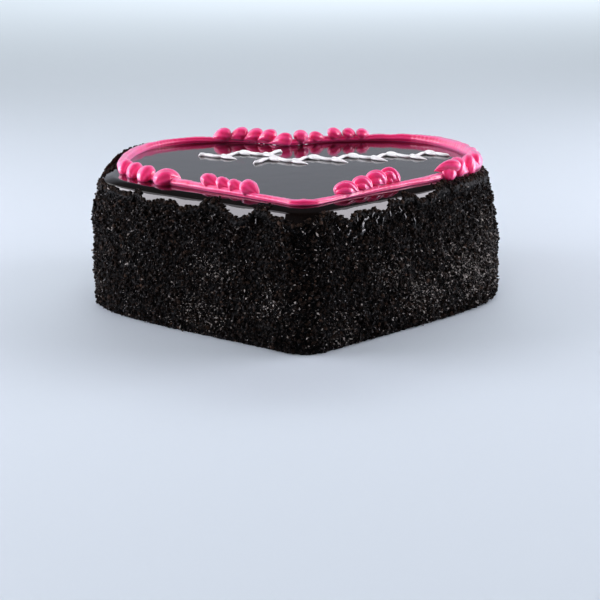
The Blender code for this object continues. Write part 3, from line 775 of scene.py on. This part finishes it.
def clumps(share, below):
    """Smooth lumps and hollows of the crumb coat, between -1 and 1."""
    along = np.mod(share, 1.0) * len(clump_table)
    down = np.clip(below, 0.0, CAKE_HEIGHT) / MM / CLUMP_MM
    i, j = along.astype(int), down.astype(int)
    s, t = along - i, down - j
    s, t = s * s * (3 - 2 * s), t * t * (3 - 2 * t)
    left, right = i % len(clump_table), (i + 1) % len(clump_table)
    upper = clump_table[left, j] * (1 - s) + clump_table[right, j] * s
    lower = clump_table[left, j + 1] * (1 - s) + clump_table[right, j + 1] * s
    return upper * (1 - t) + lower * t


# How far in over the top and how near to the foot the section is measured
COAT_OVER_TOP_MM = 1.5
COAT_FOOT_MM = 0.3
COAT_STEPS = 700
# Away from their edge the grains sink into the bed, and near it only by this least share
COAT_SINK = 1.5 * MM
COAT_EASE = 5.0 * MM
COAT_SINK_LEAST = 0.15
# How far a grain stays from the ragged edge and from the table, in shares of its size
EDGE_CLEAR = 0.4
FOOT_CLEAR = 0.85

COAT_BELOW = np.linspace(-COAT_OVER_TOP_MM, CAKE_HEIGHT / MM - COAT_FOOT_MM, COAT_STEPS) * MM
COAT_RUN = np.concatenate(([0.0], np.cumsum(np.hypot(*np.diff(section(COAT_BELOW), axis=1)))))


def on_bed(count, size, low, high):
    """Random places over the crumb coat, up to its ragged edge, sunk or proud as shares of the size."""
    share = rng.uniform(0.0, 1.0, count)
    edge = crumb_edge(share) + size * EDGE_CLEAR
    # Places are even along the curved section, so that the shoulder gets its share of grains too
    start = np.interp(edge, COAT_BELOW, COAT_RUN)
    below = np.interp(start + (COAT_RUN[-1] - start) * rng.uniform(0.0, 1.0, count), COAT_RUN, COAT_BELOW)
    deeper = below - np.maximum(edge, SHOULDER_HEIGHT)
    sink = COAT_SINK * np.clip(deeper / COAT_EASE, COAT_SINK_LEAST, 1.0)
    lift = size * rng.uniform(low, high, count) - sink + CLUMP_LIFT * clumps(share, below)
    centres = on_side(share, below, lift)
    centres[:, 2] = np.maximum(centres[:, 2], size * FOOT_CLEAR)
    return centres


print("the coat runs", round(COAT_RUN[-1] / MM, 1), "mm down the section")

# %% Grains of every kind
# Name, form, count, sizes in mm, how far they stand proud in shares of their size, how rare the light
# tones are, the part that is brighter still, and the stretch of the form
CRUMB_KINDS = (
    ("crumbs_fine", "shard", 20000, (0.45, 1.0), (-0.2, 0.6), 6.5, 0.045, (1.3, 1.0, 0.8)),
    ("crumbs_middle", "shard", 18000, (0.9, 1.7), (-0.1, 0.7), 7.0, 0.035, (1.2, 1.0, 0.9)),
    ("crumbs_coarse", "lump", 4200, (1.5, 2.5), (-0.1, 0.45), 7.0, 0.02, (1.0, 1.0, 1.0)),
)
BRIGHT_TONES = (0.6, 1.0)
CHIP_COUNT = 9000
CHIP_SIZES = (0.45, 1.0)
CHIP_PROUD = (0.6, 1.3)
CHIP_STRETCH = (1.4, 1.0, 0.5)


def grain_tones(count, rare, bright_part):
    """Most grains are nearly black, a few much browner or paler."""
    tones = rng.beta(1.0, rare, count)
    return np.where(rng.uniform(0.0, 1.0, count) < bright_part, rng.uniform(*BRIGHT_TONES, count), tones)


for name, form, count, sizes, proud, rare, bright_part, stretch in CRUMB_KINDS:
    size = rng.uniform(*sizes, count) * MM
    scatter_grains(name, form, on_bed(count, size, *proud), size, grain_tones(count, rare, bright_part),
                   dark_crumb, stretch)
size = rng.uniform(*CHIP_SIZES, CHIP_COUNT) * MM
scatter_grains("chocolate_chips", "shard", on_bed(CHIP_COUNT, size, *CHIP_PROUD), size,
               rng.beta(1.5, 2.5, CHIP_COUNT), chip_gloss, CHIP_STRETCH)

# %% [markdown]
# ## Dusty grains with painted glints, stray grains and a heap
#
# Some crumbs are pale with sugar dust, and their pale colour also stands in for glints off shiny crumbs:
# painted glints. They lie a little everywhere and thicker in a few patches, where they catch the eye
# first. A few grains also stray over the ragged edge, and a low heap of them stands on the rim at the
# left, where the hand let go. They follow the same rules as the others, with their own places.

# %% Dusty grains with painted glints, thicker in a few patches
# Share of the way round, and height above the base in mm, of the middle of each patch
DUST_GLINT_PATCHES = ((0.114, 18), (0.112, 11), (0.152, 27), (0.158, 20), (0.919, 33), (0.902, 15), (0.911, 11),
                 (0.078, 32), (0.171, 23), (0.098, 16), (0.03, 10), (0.973, 23), (0.35, 24), (0.62, 30),
                 (0.190, 30), (0.200, 15), (0.180, 42), (0.165, 12), (0.140, 36))
DUST_GLINT_SPREAD = (0.012, 5 * MM)
PATCH_PART = 0.55
PATCH_PROUD = 0.9
PATCH_TOP, PATCH_FOOT = 12 * MM, 0.6 * MM
# Most dusty, glint-painted grains are near the least size, and fewer and fewer are larger
DUST_GLINT_COUNT = 6000
DUST_GLINT_LEAST, DUST_GLINT_MOST = 0.35 * MM, 1.5 * MM
DUST_GLINT_EXTRA_MM = 0.32
DUST_GLINT_PROUD = (0.7, 1.3)
DUST_GLINT_STRETCH = (1.3, 0.9, 0.6)

size = DUST_GLINT_LEAST + rng.exponential(DUST_GLINT_EXTRA_MM, DUST_GLINT_COUNT) * MM
size = np.minimum(size, DUST_GLINT_MOST)
dust_glint_at = on_bed(DUST_GLINT_COUNT, size, *DUST_GLINT_PROUD)
patch = np.array(DUST_GLINT_PATCHES)[rng.integers(0, len(DUST_GLINT_PATCHES), DUST_GLINT_COUNT)]
patch_share = patch[:, 0] + rng.normal(0.0, DUST_GLINT_SPREAD[0], DUST_GLINT_COUNT)
patch_below = CAKE_HEIGHT - patch[:, 1] * MM + rng.normal(0.0, DUST_GLINT_SPREAD[1], DUST_GLINT_COUNT)
patch_below = np.clip(patch_below, PATCH_TOP, CAKE_HEIGHT - PATCH_FOOT)
in_patch = rng.uniform(0.0, 1.0, DUST_GLINT_COUNT) < PATCH_PART
dust_glint_at[in_patch] = on_side(patch_share, patch_below, size * PATCH_PROUD - COAT_SINK)[in_patch]
# Pale tones: partly sugar dust, partly painted glints
scatter_grains("crumbs_dust_glint", "shard", dust_glint_at, size, rng.beta(1.5, 1.5, DUST_GLINT_COUNT), dust_glint_crumb,
               DUST_GLINT_STRETCH)

# %% Stray grains above the edge, and the heap on the rim at the left
STRAY_COUNT = 1900
STRAY_SIZES = (0.6, 1.9)
# Depths past the edge and over the top in mm, and lift in shares of the size
STRAY_PAST_EDGE = (-0.45, 1.6)
STRAY_OVER_TOP = -1.0
STRAY_LIFT = 0.25
HEAP_COUNT = 1500
HEAP_SIZES = (0.8, 2.0)
HEAP_FROM, HEAP_TO = 0.615, 0.765
HEAP_HEIGHT = 6.4 * MM
# The heap's foot lies this far below the top and spreads this far, in mm
HEAP_FOOT, HEAP_SPREAD = 3.4, 0.8
HEAP_BLUNT = 0.6
# How high the heap is at its start, and how much of that it loses by its end, in shares
HEAP_START, HEAP_LOSS = 1.15, 0.55
HEAP_LIFT = 0.3

share = rng.uniform(0.0, 1.0, STRAY_COUNT)
size = rng.uniform(*STRAY_SIZES, STRAY_COUNT) * MM
below = np.maximum(crumb_edge(share) + rng.uniform(*STRAY_PAST_EDGE, STRAY_COUNT) * MM, STRAY_OVER_TOP * MM)
stray_at = on_side(share, below, size * STRAY_LIFT)
part = rng.uniform(0.0, 1.0, HEAP_COUNT)
heap_size = rng.uniform(*HEAP_SIZES, HEAP_COUNT) * MM
across = rng.uniform(-1.0, 1.0, HEAP_COUNT)
ridge = np.sin(part * math.pi) ** HEAP_BLUNT * (HEAP_START - HEAP_LOSS * part)
heap_at = on_side(HEAP_FROM + (HEAP_TO - HEAP_FROM) * part, (HEAP_FOOT + HEAP_SPREAD * across) * MM,
                  heap_size * HEAP_LIFT)
heap_at[:, 2] += HEAP_HEIGHT * ridge * (1.0 - across ** 2) * np.sqrt(rng.uniform(0.0, 1.0, HEAP_COUNT))
scatter_grains("crumbs_stray", "lump", np.concatenate((stray_at, heap_at)),
               np.concatenate((size, heap_size)), rng.beta(1.2, 3.0, STRAY_COUNT + HEAP_COUNT), dark_crumb)

# %% [markdown]
# ## Smears of glaze
#
# Where the crumbs were pressed on, most of all at the front right, a little glaze came through and was
# dragged over them. The smears are thin ribbons of the same mirror glaze that lie among the grains, so
# only scraps of them show, and those flash white in the softboxes.

# %% Ribbons of glaze among the crumbs
# Share of the way round and mm below the top at the start, the same at the end, and the width in mm
SMEARS = (
    (0.0560, 5.6, 0.0500, 9.6, 2.0), (0.0540, 8.4, 0.0480, 9.4, 1.8), (0.0500, 8.8, 0.0470, 12.2, 2.4),
    (0.0510, 12.6, 0.0455, 13.8, 2.6), (0.0460, 4.6, 0.0452, 8.8, 1.3), (0.0620, 4.6, 0.0590, 8.6, 1.4),
    (0.0420, 14.6, 0.0390, 17.6, 1.1), (0.0385, 12.6, 0.0330, 13.6, 1.3), (0.0640, 7.6, 0.0625, 11.6, 1.2),
    (0.0275, 9.0, 0.0262, 11.5, 0.9), (0.0760, 6.6, 0.0750, 9.6, 1.1), (0.0900, 9.0, 0.0890, 12.5, 1.0),
    (0.0700, 8.6, 0.0680, 11.6, 1.0), (0.0980, 11.5, 0.0985, 17.5, 0.9), (0.0860, 6.0, 0.0850, 9.0, 0.9),
    (0.9240, 6.4, 0.9230, 9.6, 1.0), (0.9600, 5.6, 0.9605, 8.6, 1.0), (0.9840, 7.4, 0.9850, 10.0, 0.9),
)
SMEAR_STEPS = 14
SMEAR_ROUND = 12
SMEAR_LIFT = 0.15 * MM
SMEAR_THICKNESS = 0.45 * MM
SMEAR_SWING = 0.6 * MM
SMEAR_UNEVEN = (0.6, 1.3)
SMEAR_POINT = 0.02 * MM
SMEAR_SEED = 3

rng_smear = np.random.default_rng(SMEAR_SEED)
t = np.linspace(0.0, 1.0, SMEAR_STEPS)
waves = np.sin(np.outer((1, 2, 3), t * math.pi))
angle = circle(SMEAR_ROUND)
skins = []
for share_a, below_a, share_b, below_b, width in SMEARS:
    along = np.array(((share_b - share_a) * cake_length, (below_b - below_a) * MM))
    across = np.array((-along[1], along[0])) / np.linalg.norm(along)
    swing = rng_smear.uniform(-SMEAR_SWING, SMEAR_SWING, len(waves)) @ waves
    half = width / 2 * MM * np.sqrt(np.sin(t * math.pi)) * rng_smear.uniform(*SMEAR_UNEVEN, SMEAR_STEPS)
    half += SMEAR_POINT
    off = swing[:, None] + half[:, None] * np.cos(angle)
    round_way = share_a + (t[:, None] * along[0] + off * across[0]) / cake_length
    down = below_a * MM + t[:, None] * along[1] + off * across[1]
    rise = SMEAR_LIFT + SMEAR_THICKNESS * np.minimum(half / MM, 1.0)[:, None] * np.sin(angle)
    skins.append((on_side(round_way, down, rise), False))
smears = piece_from_skins("glaze_smears", skins, set_glaze)
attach(smears, "root")

# %% [markdown]
# ## Pink buttercream
#
# The rope and the shells are whipped buttercream tinted a strong pink. Piped cream is soft and fatty:
# light enters it and glows a little, its folds lie in a deeper red shade, and its flanks carry a satin
# shine from the lamps. The finish paints that shade: it mixes a light and a deep pink by how deep a point
# lies in a fold, which the mesh itself records. It also paints a rim light, paling towards the outline as
# seen from the camera, lets some light through, and adds the faint drag marks of the nozzle.

# %% Finish: piped pink buttercream
CREAM_DRAG_MM = 0.8
CREAM_AIR_MM = 0.25
pink_cream, tree, shader = new_finish("piped_pink_buttercream")
# Butter fat and sugar have an IOR near 1.48. The nozzle leaves a satin skin with a thin coat of fat,
# and red light travels furthest inside.
set_shader(shader, Roughness=0.25, IOR=1.48, Coat_Weight=0.35, Coat_Roughness=0.12,
           Subsurface_Weight=0.2, Subsurface_Scale=1.5 * MM, Subsurface_Radius=(1.0, 0.3, 0.4))
place = add(tree, "ShaderNodeTexCoord")
fold_shade = add(tree, "ShaderNodeAttribute", attribute_name="fold_shade")
drag = add(tree, "ShaderNodeTexNoise", {"Vector": place.outputs["Object"]},
           Scale=1000.0 / CREAM_DRAG_MM, Detail=3.0)
air = add(tree, "ShaderNodeTexNoise", {"Vector": place.outputs["Object"]},
          Scale=1000.0 / CREAM_AIR_MM, Detail=2.0)
# Painted shade: the deep pink darkens points by their fold_shade value, deepest in the grooves
tone = add(tree, "ShaderNodeMix", {"Factor": fold_shade.outputs["Fac"]}, data_type="RGBA",
           i6=linear("#fd4a88"), i7=linear("#c01048"))
# Painted rim light: the pink pales towards the outline as seen from the camera
rim = add(tree, "ShaderNodeLayerWeight", Blend=0.42)
painted_rim_light = add(tree, "ShaderNodeMapRange", {"Value": rim.outputs["Facing"]}, From_Min=0.2, From_Max=0.9,
           To_Min=0.0, To_Max=0.9)
rim_lit_tone = add(tree, "ShaderNodeMix", {"Factor": painted_rim_light.outputs["Result"], 6: tone.outputs[2]}, data_type="RGBA",
            i7=linear("#ffaed2"))
mottled = add(tree, "ShaderNodeMix", {"Factor": drag.outputs["Fac"], 6: rim_lit_tone.outputs[2]}, data_type="RGBA",
              blend_type="SOFT_LIGHT", i7=linear("#ff9cc4"))
tree.links.new(mottled.outputs[2], shader.inputs["Base Color"])
air_bump = add(tree, "ShaderNodeBump", {"Height": air.outputs["Fac"]}, Strength=0.12, Distance=0.0001)
drag_bump = add(tree, "ShaderNodeBump",
                {"Height": drag.outputs["Fac"], "Normal": air_bump.outputs["Normal"]},
                Strength=0.25, Distance=0.0003)
tree.links.new(drag_bump.outputs["Normal"], shader.inputs["Normal"])
satin = add(tree, "ShaderNodeMapRange", {"Value": drag.outputs["Fac"]}, To_Min=0.16, To_Max=0.32)
tree.links.new(satin.outputs["Result"], shader.inputs["Roughness"])

# %% [markdown]
# ## The rope
#
# The rope was piped in one go from a small star nozzle. So it is a ribbed, slightly square tube whose
# thickness and place waver with the hand, and whose ribs drift round it.

# %% The rope round the top
ROPE_WIDTH = 4.8 * MM
ROPE_HEIGHT = 3.9 * MM
ROPE_RIBS = 6
ROPE_RIB_DEPTH = 0.10
# Painted shade: how dark the grooves between the rope's ribs are painted
ROPE_FOLD_SHADE = 0.75
RIB_POWER = 1.5
ROPE_SUNK = 0.3 * MM
ROPE_ROUND = 36
ROPE_RINGS = 1600
ROPE_SEED = 5
# Waves round the rope, and how much of its thickness they change
ROPE_UNEVEN = ((60, 0.06), (240, 0.03))
# The hand pressed harder round the right of the back, and lightly under the back shells and in front:
# middle and reach as shares of the rope, and the change in thickness
ROPE_PRESSED = ((0.31, 0.09, 0.28), (0.548, 0.034, -0.50), (0.075, 0.075, -0.24), (0.94, 0.07, -0.14))
# At the tip the rope is thinner, with a small bead just where the nozzle turned
TIP_THIN, TIP_THIN_REACH = 0.16, 35 * MM
TIP_BEAD, TIP_BEAD_REACH = 0.10, 2.5 * MM
ROPE_DRIFT = 0.5
ROPE_SWAY = 0.25 * MM
# Below one, these powers make the section squarer
ROPE_SIDE_POWER, ROPE_RISE_POWER = 0.85, 0.9
# At the left and the right the rope lies on the falling shoulder, so its underside sags down to it
ROPE_SAG = 1.8 * MM
ROPE_SAG_AT = (0.27, 0.73)
ROPE_SAG_REACH = 0.09


def squared(wave, power):
    """A sine or cosine with its sign kept and its size raised to a power."""
    return np.sign(wave) * np.abs(wave) ** power


rng_rope = np.random.default_rng(ROPE_SEED)
share = np.arange(ROPE_RINGS) / ROPE_RINGS
angle = circle(ROPE_ROUND)
thick = 1.0
for waves, change in ROPE_UNEVEN:
    thick = thick + change * soft_noise(ROPE_RINGS, waves, rng_rope)
for middle, reach, change in ROPE_PRESSED:
    thick = thick * (1.0 + change * hump(share, middle, reach))
from_tip = np.minimum(share, 1.0 - share) * rope_length
bead = TIP_BEAD * np.exp(-(from_tip / TIP_BEAD_REACH) ** 2)
thick = thick * (1.0 + bead - TIP_THIN * hump(from_tip, 0.0, TIP_THIN_REACH))
drift = ROPE_DRIFT * soft_noise(ROPE_RINGS, 9, rng_rope)
sway = ROPE_SWAY * soft_noise(ROPE_RINGS, 40, rng_rope)
rib = 0.5 + 0.5 * np.cos(ROPE_RIBS * (angle[None, :] + drift[:, None]))
reach = 1.0 - ROPE_RIB_DEPTH * (1.0 - rib) ** RIB_POWER
side = squared(np.cos(angle), ROPE_SIDE_POWER)
rise = squared(np.sin(angle), ROPE_RISE_POWER)
across = ROPE_WIDTH / 2 * thick[:, None] * reach * side[None, :] + sway[:, None]
up = ROPE_HEIGHT * thick[:, None] * (0.5 + 0.5 * reach * rise[None, :])
from_side = np.min([np.abs(share - at) for at in ROPE_SAG_AT], axis=0)
sag = ROPE_SAG * hump(from_side, 0.0, ROPE_SAG_REACH)
up = up - sag[:, None] * (0.5 - 0.5 * rise[None, :])
xy = at_share(rope_line, share)[:, None, :] + at_share(rope_out, share)[:, None, :] * across[..., None]
grid = np.concatenate((xy, (CAKE_HEIGHT - ROPE_SUNK + up)[..., None]), axis=-1)
# The fold_shade value paints shade into the grooves between the rope's ribs
rope = piece_from_skins("piped_rope", [(grid, True)], pink_cream, {"fold_shade": [ROPE_FOLD_SHADE * (1.0 - rib)]})
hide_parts("cream_rope")
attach(rope, "root")

# %% [markdown]
# ## Shells of cream
#
# Each shell is one squeeze of the bag: a fat round head, drawn out to a tail that tucks under the next
# one. On the left and the right the shells lie across the rope and hang over the rim like fingers; near
# the front they sit inside the rope; at the back they ride on top of it. Every shell is a skin round
# a bent middle line. Its radius swells fast at the head and runs out along the tail, and shallow ribs
# wind a little round it as they follow its length. The four inside the rope at the right were turned
# as they were piped, so their ribs are deep folds.

# %% One shell
SHELL_RINGS = 40
SHELL_ROUND = 40
HEAD_SHARE = 0.38
HEAD_ROUND = 2.4
TAIL_ROUND = 1.7
SHELL_ENDS = (0.02, 0.985)
SHELL_TWIST = (0.8, 1.8)
SHELL_UNEVEN = 0.03
# Painted shade: how dark the grooves between a shell's ribs are painted
SHELL_FOLD_SHADE = 0.6


def shell(tail, crest, head, width, height, ribs, rib_depth, rng):
    """Grid of points and painted fold shade values of one shell along a curve from head through crest to
    tail.
    """
    u = 0.5 - 0.5 * np.cos(np.linspace(*SHELL_ENDS, SHELL_RINGS) * math.pi)
    head, crest, tail = (np.array(p) for p in (head, crest, tail))
    pull = 2.0 * crest - (head + tail) / 2.0
    t = u[:, None]
    middle = (1 - t) ** 2 * head + 2 * t * (1 - t) * pull + t ** 2 * tail
    along = 2 * (1 - t) * (pull - head) + 2 * t * (tail - pull)
    along /= np.linalg.norm(along, axis=1)[:, None]
    across = np.cross(along, (0.0, 0.0, 1.0))
    across /= np.linalg.norm(across, axis=1)[:, None]
    up = np.cross(across, along)
    head_part = np.clip(1.0 - u / HEAD_SHARE, 0.0, 1.0)
    tail_part = np.clip((u - HEAD_SHARE) / (1.0 - HEAD_SHARE), 0.0, 1.0)
    radius = (1.0 - head_part ** HEAD_ROUND) ** (1.0 / HEAD_ROUND) * (1.0 - tail_part ** TAIL_ROUND)
    angle = circle(SHELL_ROUND)
    twist = rng.uniform(0.0, 2.0 * math.pi) + rng.uniform(*SHELL_TWIST) * u
    rib = 0.5 + 0.5 * np.cos(ribs * (angle[None, :] + twist[:, None]))
    reach = radius[:, None] * (1.0 - rib_depth * (1.0 - rib) ** RIB_POWER)
    reach *= 1.0 + SHELL_UNEVEN * np.sin(3 * angle[None, :] + 5 * u[:, None] + rng.uniform(0, 6))
    points = (middle[:, None, :] + across[:, None, :] * (width / 2 * reach * np.cos(angle))[..., None]
              + up[:, None, :] * (height / 2 * reach * np.sin(angle))[..., None])
    return points, SHELL_FOLD_SHADE * (1.0 - rib)


def by_rope(share, right, back, z):
    """A point near the rope's line, moved right and back on the table, at a height; all in mm."""
    base = at_share(rope_line, share)
    return base[0] + right * MM, base[1] + back * MM, z * MM

# %% Shells run by run
# Each row is one shell: its place along the rope, then tail, crest and head as (right, back, height)
# from the rope's line in mm, then width and height in mm
SHELL_RUNS = {
    "shells_left_outer": [
        (0.783, (2.3, 2.0, 69.5), (0.8, -1.2, 71.0), (-0.4, -6.0, 66.6), 7.8, 6.4),
        (0.804, (3.0, 2.0, 69.5), (1.1, -1.4, 71.2), (-1.2, -6.0, 66.6), 8.2, 6.6),
        (0.823, (3.8, 1.5, 69.5), (1.2, -1.8, 71.0), (-1.8, -6.6, 66.4), 9.2, 7.2),
        (0.845, (9.5, -3.8, 68.8), (3.5, -3.4, 70.2), (-3.0, -6.2, 67.4), 11.0, 9.6)],
    "shells_left_inner": [
        (0.899, (6.0, -3.5, 69.5), (1.5, 1.0, 71.2), (-2.5, 2.5, 70.0), 8.4, 8.0),
        (0.915, (5.5, -3.0, 69.5), (1.3, 1.0, 71.0), (-2.0, 2.5, 70.0), 7.4, 7.0),
        (0.928, (5.5, -3.5, 69.5), (1.3, 1.0, 70.8), (-2.2, 2.5, 70.0), 8.2, 7.0),
        (0.943, (5.5, -4.5, 69.0), (1.5, 0.0, 71.0), (-2.5, 2.5, 69.8), 9.4, 8.4)],
    "shells_right_inner": [
        (0.0445, (5.5, 0.9, 69.4), (1.0, 1.4, 70.9), (-5.5, -1.1, 69.4), 9.6, 8.2),
        (0.062, (5.0, 1.2, 69.4), (1.0, 1.7, 71.4), (-4.0, 0.2, 70.2), 9.8, 8.6),
        (0.078, (4.5, 1.7, 69.9), (1.0, 2.2, 72.4), (-4.5, 1.2, 70.4), 10.6, 9.8),
        (0.094, (4.5, 0.7, 69.9), (0.5, 2.2, 72.4), (-4.0, 0.7, 70.9), 10.2, 9.6)],
    "shells_right_outer": [
        (0.154, (-3.8, 0.0, 71.0), (3.0, 1.0, 73.0), (9.5, 2.5, 72.8), 7.2, 6.8),
        (0.167, (-2.0, 1.0, 71.0), (-2.2, -3.2, 71.6), (-2.0, -8.0, 66.6), 8.0, 6.6),
        (0.183, (-3.0, 3.0, 72.0), (-2.6, -1.5, 72.8), (-2.4, -6.6, 66.8), 8.4, 7.4),
        (0.201, (-2.5, 3.0, 72.0), (-1.6, -1.8, 72.4), (-1.4, -6.6, 65.6), 7.4, 7.2),
        (0.221, (-2.5, 3.0, 71.6), (-1.4, -0.6, 71.8), (-0.8, -4.6, 67.0), 6.6, 6.6)],
    "shells_back_left": [
        (0.575, (-6.2, 0.0, 68.2), (-1.0, 0.0, 70.8), (5.0, 0.0, 71.8), 8.4, 8.0),
        (0.559, (-6.2, 0.0, 68.2), (-0.5, 0.0, 71.2), (5.2, 0.0, 72.0), 8.4, 8.2),
        (0.544, (-6.2, 0.0, 68.2), (-0.5, 0.0, 70.8), (5.2, 0.0, 71.6), 8.4, 8.0),
        (0.529, (-5.8, 0.0, 68.6), (-0.5, 0.0, 71.0), (5.2, 0.0, 71.4), 8.4, 8.0),
        (0.511, (-6.0, -1.0, 69.0), (0.0, -1.0, 70.0), (5.6, -1.0, 70.2), 8.8, 8.4)],
    "shells_back_right": [
        (0.490, (3.8, 0.5, 69.4), (0.0, -1.5, 71.4), (-3.6, -2.5, 69.6), 9.0, 8.6),
        (0.474, (5.0, 0.0, 69.0), (0.5, 0.0, 70.2), (-4.0, 0.0, 69.4), 8.0, 6.8),
        (0.456, (4.8, 0.0, 69.2), (0.5, 0.0, 71.2), (-4.0, 0.0, 71.0), 8.4, 8.0),
        (0.442, (4.6, 0.0, 69.2), (0.5, 0.0, 71.0), (-3.6, 0.0, 70.6), 8.0, 7.2),
        (0.429, (4.6, 0.0, 69.2), (0.5, 0.0, 70.8), (-3.4, 0.0, 70.2), 7.8, 6.8)],
}
SHELL_RIBS = 7
SHELL_RIB_DEPTH = 0.07
FOLDED_RUN = "shells_right_inner"
FOLDED_RIBS = 6
FOLDED_RIB_DEPTH = 0.26
SHELL_SEED = 21
rng_shell = np.random.default_rng(SHELL_SEED)
for run, shells in SHELL_RUNS.items():
    skins, fold_shades = [], []
    ribbing = (FOLDED_RIBS, FOLDED_RIB_DEPTH) if run == FOLDED_RUN else (SHELL_RIBS, SHELL_RIB_DEPTH)
    for at, tail, crest, head, width, height in shells:
        curve = [by_rope(at, *place) for place in (tail, crest, head)]
        points, fold_shade_value = shell(*curve, width * MM, height * MM, *ribbing, rng_shell)
        skins.append((points, False))
        fold_shades.append(fold_shade_value)
    piece = piece_from_skins("piped_" + run, skins, pink_cream, {"fold_shade": fold_shades})
    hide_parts(run)
    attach(piece, "root")

# %% [markdown]
# ## Silver-white vines
#
# Two rows of fine piping cross the top. They are plain vines: a waving stem with a pair of leaves, one
# large and one small, at every bend, piped in royal icing dusted with pearl. The stem is a little over
# two millimetres wide and stands up from the glaze, so it catches light on its top and throws a dark
# mirrored line beneath. Each stroke is a skin round a curve, thinner and thicker with the hand.

# %% Finish: pearl-dusted royal icing
ICING_GRAIN_MM = 0.3
pearl_icing, tree, shader = new_finish("pearl_dusted_royal_icing")
# Set sugar paste is bright and slightly rough; the pearl dust adds a soft metallic coat of light.
set_shader(shader, IOR=1.5, Roughness=0.35, Coat_Weight=0.3, Coat_Roughness=0.2)
place = add(tree, "ShaderNodeTexCoord")
grain = add(tree, "ShaderNodeTexNoise", {"Vector": place.outputs["Object"]}, Scale=1000.0 / ICING_GRAIN_MM,
            Detail=2.0)
tone = add(tree, "ShaderNodeMix", {"Factor": grain.outputs["Fac"]}, data_type="RGBA",
           i6=linear("#f2f4f7"), i7=linear("#ffffff"))
tree.links.new(tone.outputs[2], shader.inputs["Base Color"])
bump = add(tree, "ShaderNodeBump", {"Height": grain.outputs["Fac"]}, Strength=0.3, Distance=0.0001)
tree.links.new(bump.outputs["Normal"], shader.inputs["Normal"])

# %% Strokes, stems and leaves
STROKE_WIDTH = 2.3 * MM
STROKE_HEIGHT = 1.8 * MM
LEAF_LENGTH = 10.5 * MM
LEAF_WIDTH = 4.2 * MM
LEAF_TURN = 50.0
LEAF_CURL = 0.9 * MM
LEAF_STEPS = 16
SMALL_LEAF = 0.66
VINE_SWING = 4.4 * MM
STROKE_ROUND = 16
STROKE_SUNK = 0.1 * MM
STROKE_UNEVEN = 0.12
STEM_STEPS = 18
STEM_PULL = 0.55
STEM_ENDS = 0.012
STEM_WAVES = 30
VINE_SEED = 8
# Name, start and end in mm from the middle of the cake, number of waves, and the side of the first bend
VINES = (
    ("ornament_upper", (-50, 43), (-4, 51), 2, 1.0),
    ("ornament_lower", (-22, 24), (84, 37), 5, -1.0),
)
rng_vine = np.random.default_rng(VINE_SEED)


def stroke(line, widths, heights):
    """Grid of points of a piped stroke that lies on the glaze along a line in plan."""
    along = np.gradient(line, axis=0)
    along /= np.linalg.norm(along, axis=1)[:, None]
    across = np.column_stack((-along[:, 1], along[:, 0]))
    angle = circle(STROKE_ROUND)
    xy = line[:, None, :] + across[:, None, :] * (widths[:, None] / 2 * np.cos(angle))[..., None]
    z = CAKE_HEIGHT - STROKE_SUNK + heights[:, None] * (0.5 + 0.5 * np.sin(angle))
    return np.concatenate((xy, z[..., None]), axis=-1)


def swelling(count, ends, waves, rng):
    """Thickness along a stroke: rounded ends and a slightly unsteady hand between."""
    t = np.linspace(0.0, 1.0, count)
    round_end = np.sqrt(np.clip(1.0 - (1.0 - np.minimum(t, 1.0 - t) / ends).clip(0.0) ** 2, 0.02, 1.0))
    unsteady = np.interp(t, np.linspace(0, 1, waves), rng.uniform(-1, 1, waves))
    return round_end * (1.0 + STROKE_UNEVEN * unsteady)


def vine_knots(start, end, waves, phase):
    """The bends of a running wave between two points."""
    start, end = np.array(start) * MM, np.array(end) * MM
    step = (end - start) / (2 * waves)
    across = np.array((-step[1], step[0])) / np.linalg.norm(step) * VINE_SWING
    return [start + step * k + across * (phase if k % 2 == 0 else -phase) for k in range(2 * waves + 1)], step


for name, start, end, waves, phase in VINES:
    knots, step = vine_knots(start, end, waves, phase)
    stem = []
    for a, b in zip(knots, knots[1:]):
        t = np.linspace(0.0, 1.0, STEM_STEPS, endpoint=False)[:, None]
        pull_a, pull_b = a + step * STEM_PULL, b - step * STEM_PULL
        stem.append((1 - t) ** 3 * a + 3 * (1 - t) ** 2 * t * pull_a
                    + 3 * (1 - t) * t * t * pull_b + t ** 3 * b)
    stem = np.concatenate(stem + [knots[-1][None]])
    thick = swelling(len(stem), STEM_ENDS, STEM_WAVES, rng_vine)
    skins = [(stroke(stem, STROKE_WIDTH * thick, STROKE_HEIGHT * thick), False)]
    slope = math.atan2(step[1], step[0])
    for k, knot in enumerate(knots[1:-1]):
        outside = phase if k % 2 == 1 else -phase
        for side_of, grown in ((outside, 1.0), (-outside, SMALL_LEAF)):
            way = slope + math.radians(LEAF_TURN) * side_of
            t = np.linspace(0.0, 1.0, LEAF_STEPS)[:, None]
            lean = np.array((math.cos(way), math.sin(way)))
            curl = np.array((-lean[1], lean[0])) * side_of * LEAF_CURL
            leaf = knot + lean * LEAF_LENGTH * grown * t + curl * np.sin(t * math.pi)
            # Blunt at the stem, widest before the middle, and drawn out to a point
            shape = np.sin(np.linspace(0.06, 1.0, LEAF_STEPS) ** 0.75 * math.pi * 0.985) ** 0.8
            wide = LEAF_WIDTH * grown * rng_vine.uniform(0.9, 1.1)
            skins.append((stroke(leaf, wide * shape, STROKE_HEIGHT * shape), False))
    vine = piece_from_skins("piped_" + name, skins, pearl_icing)
    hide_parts(name)
    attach(vine, "root")
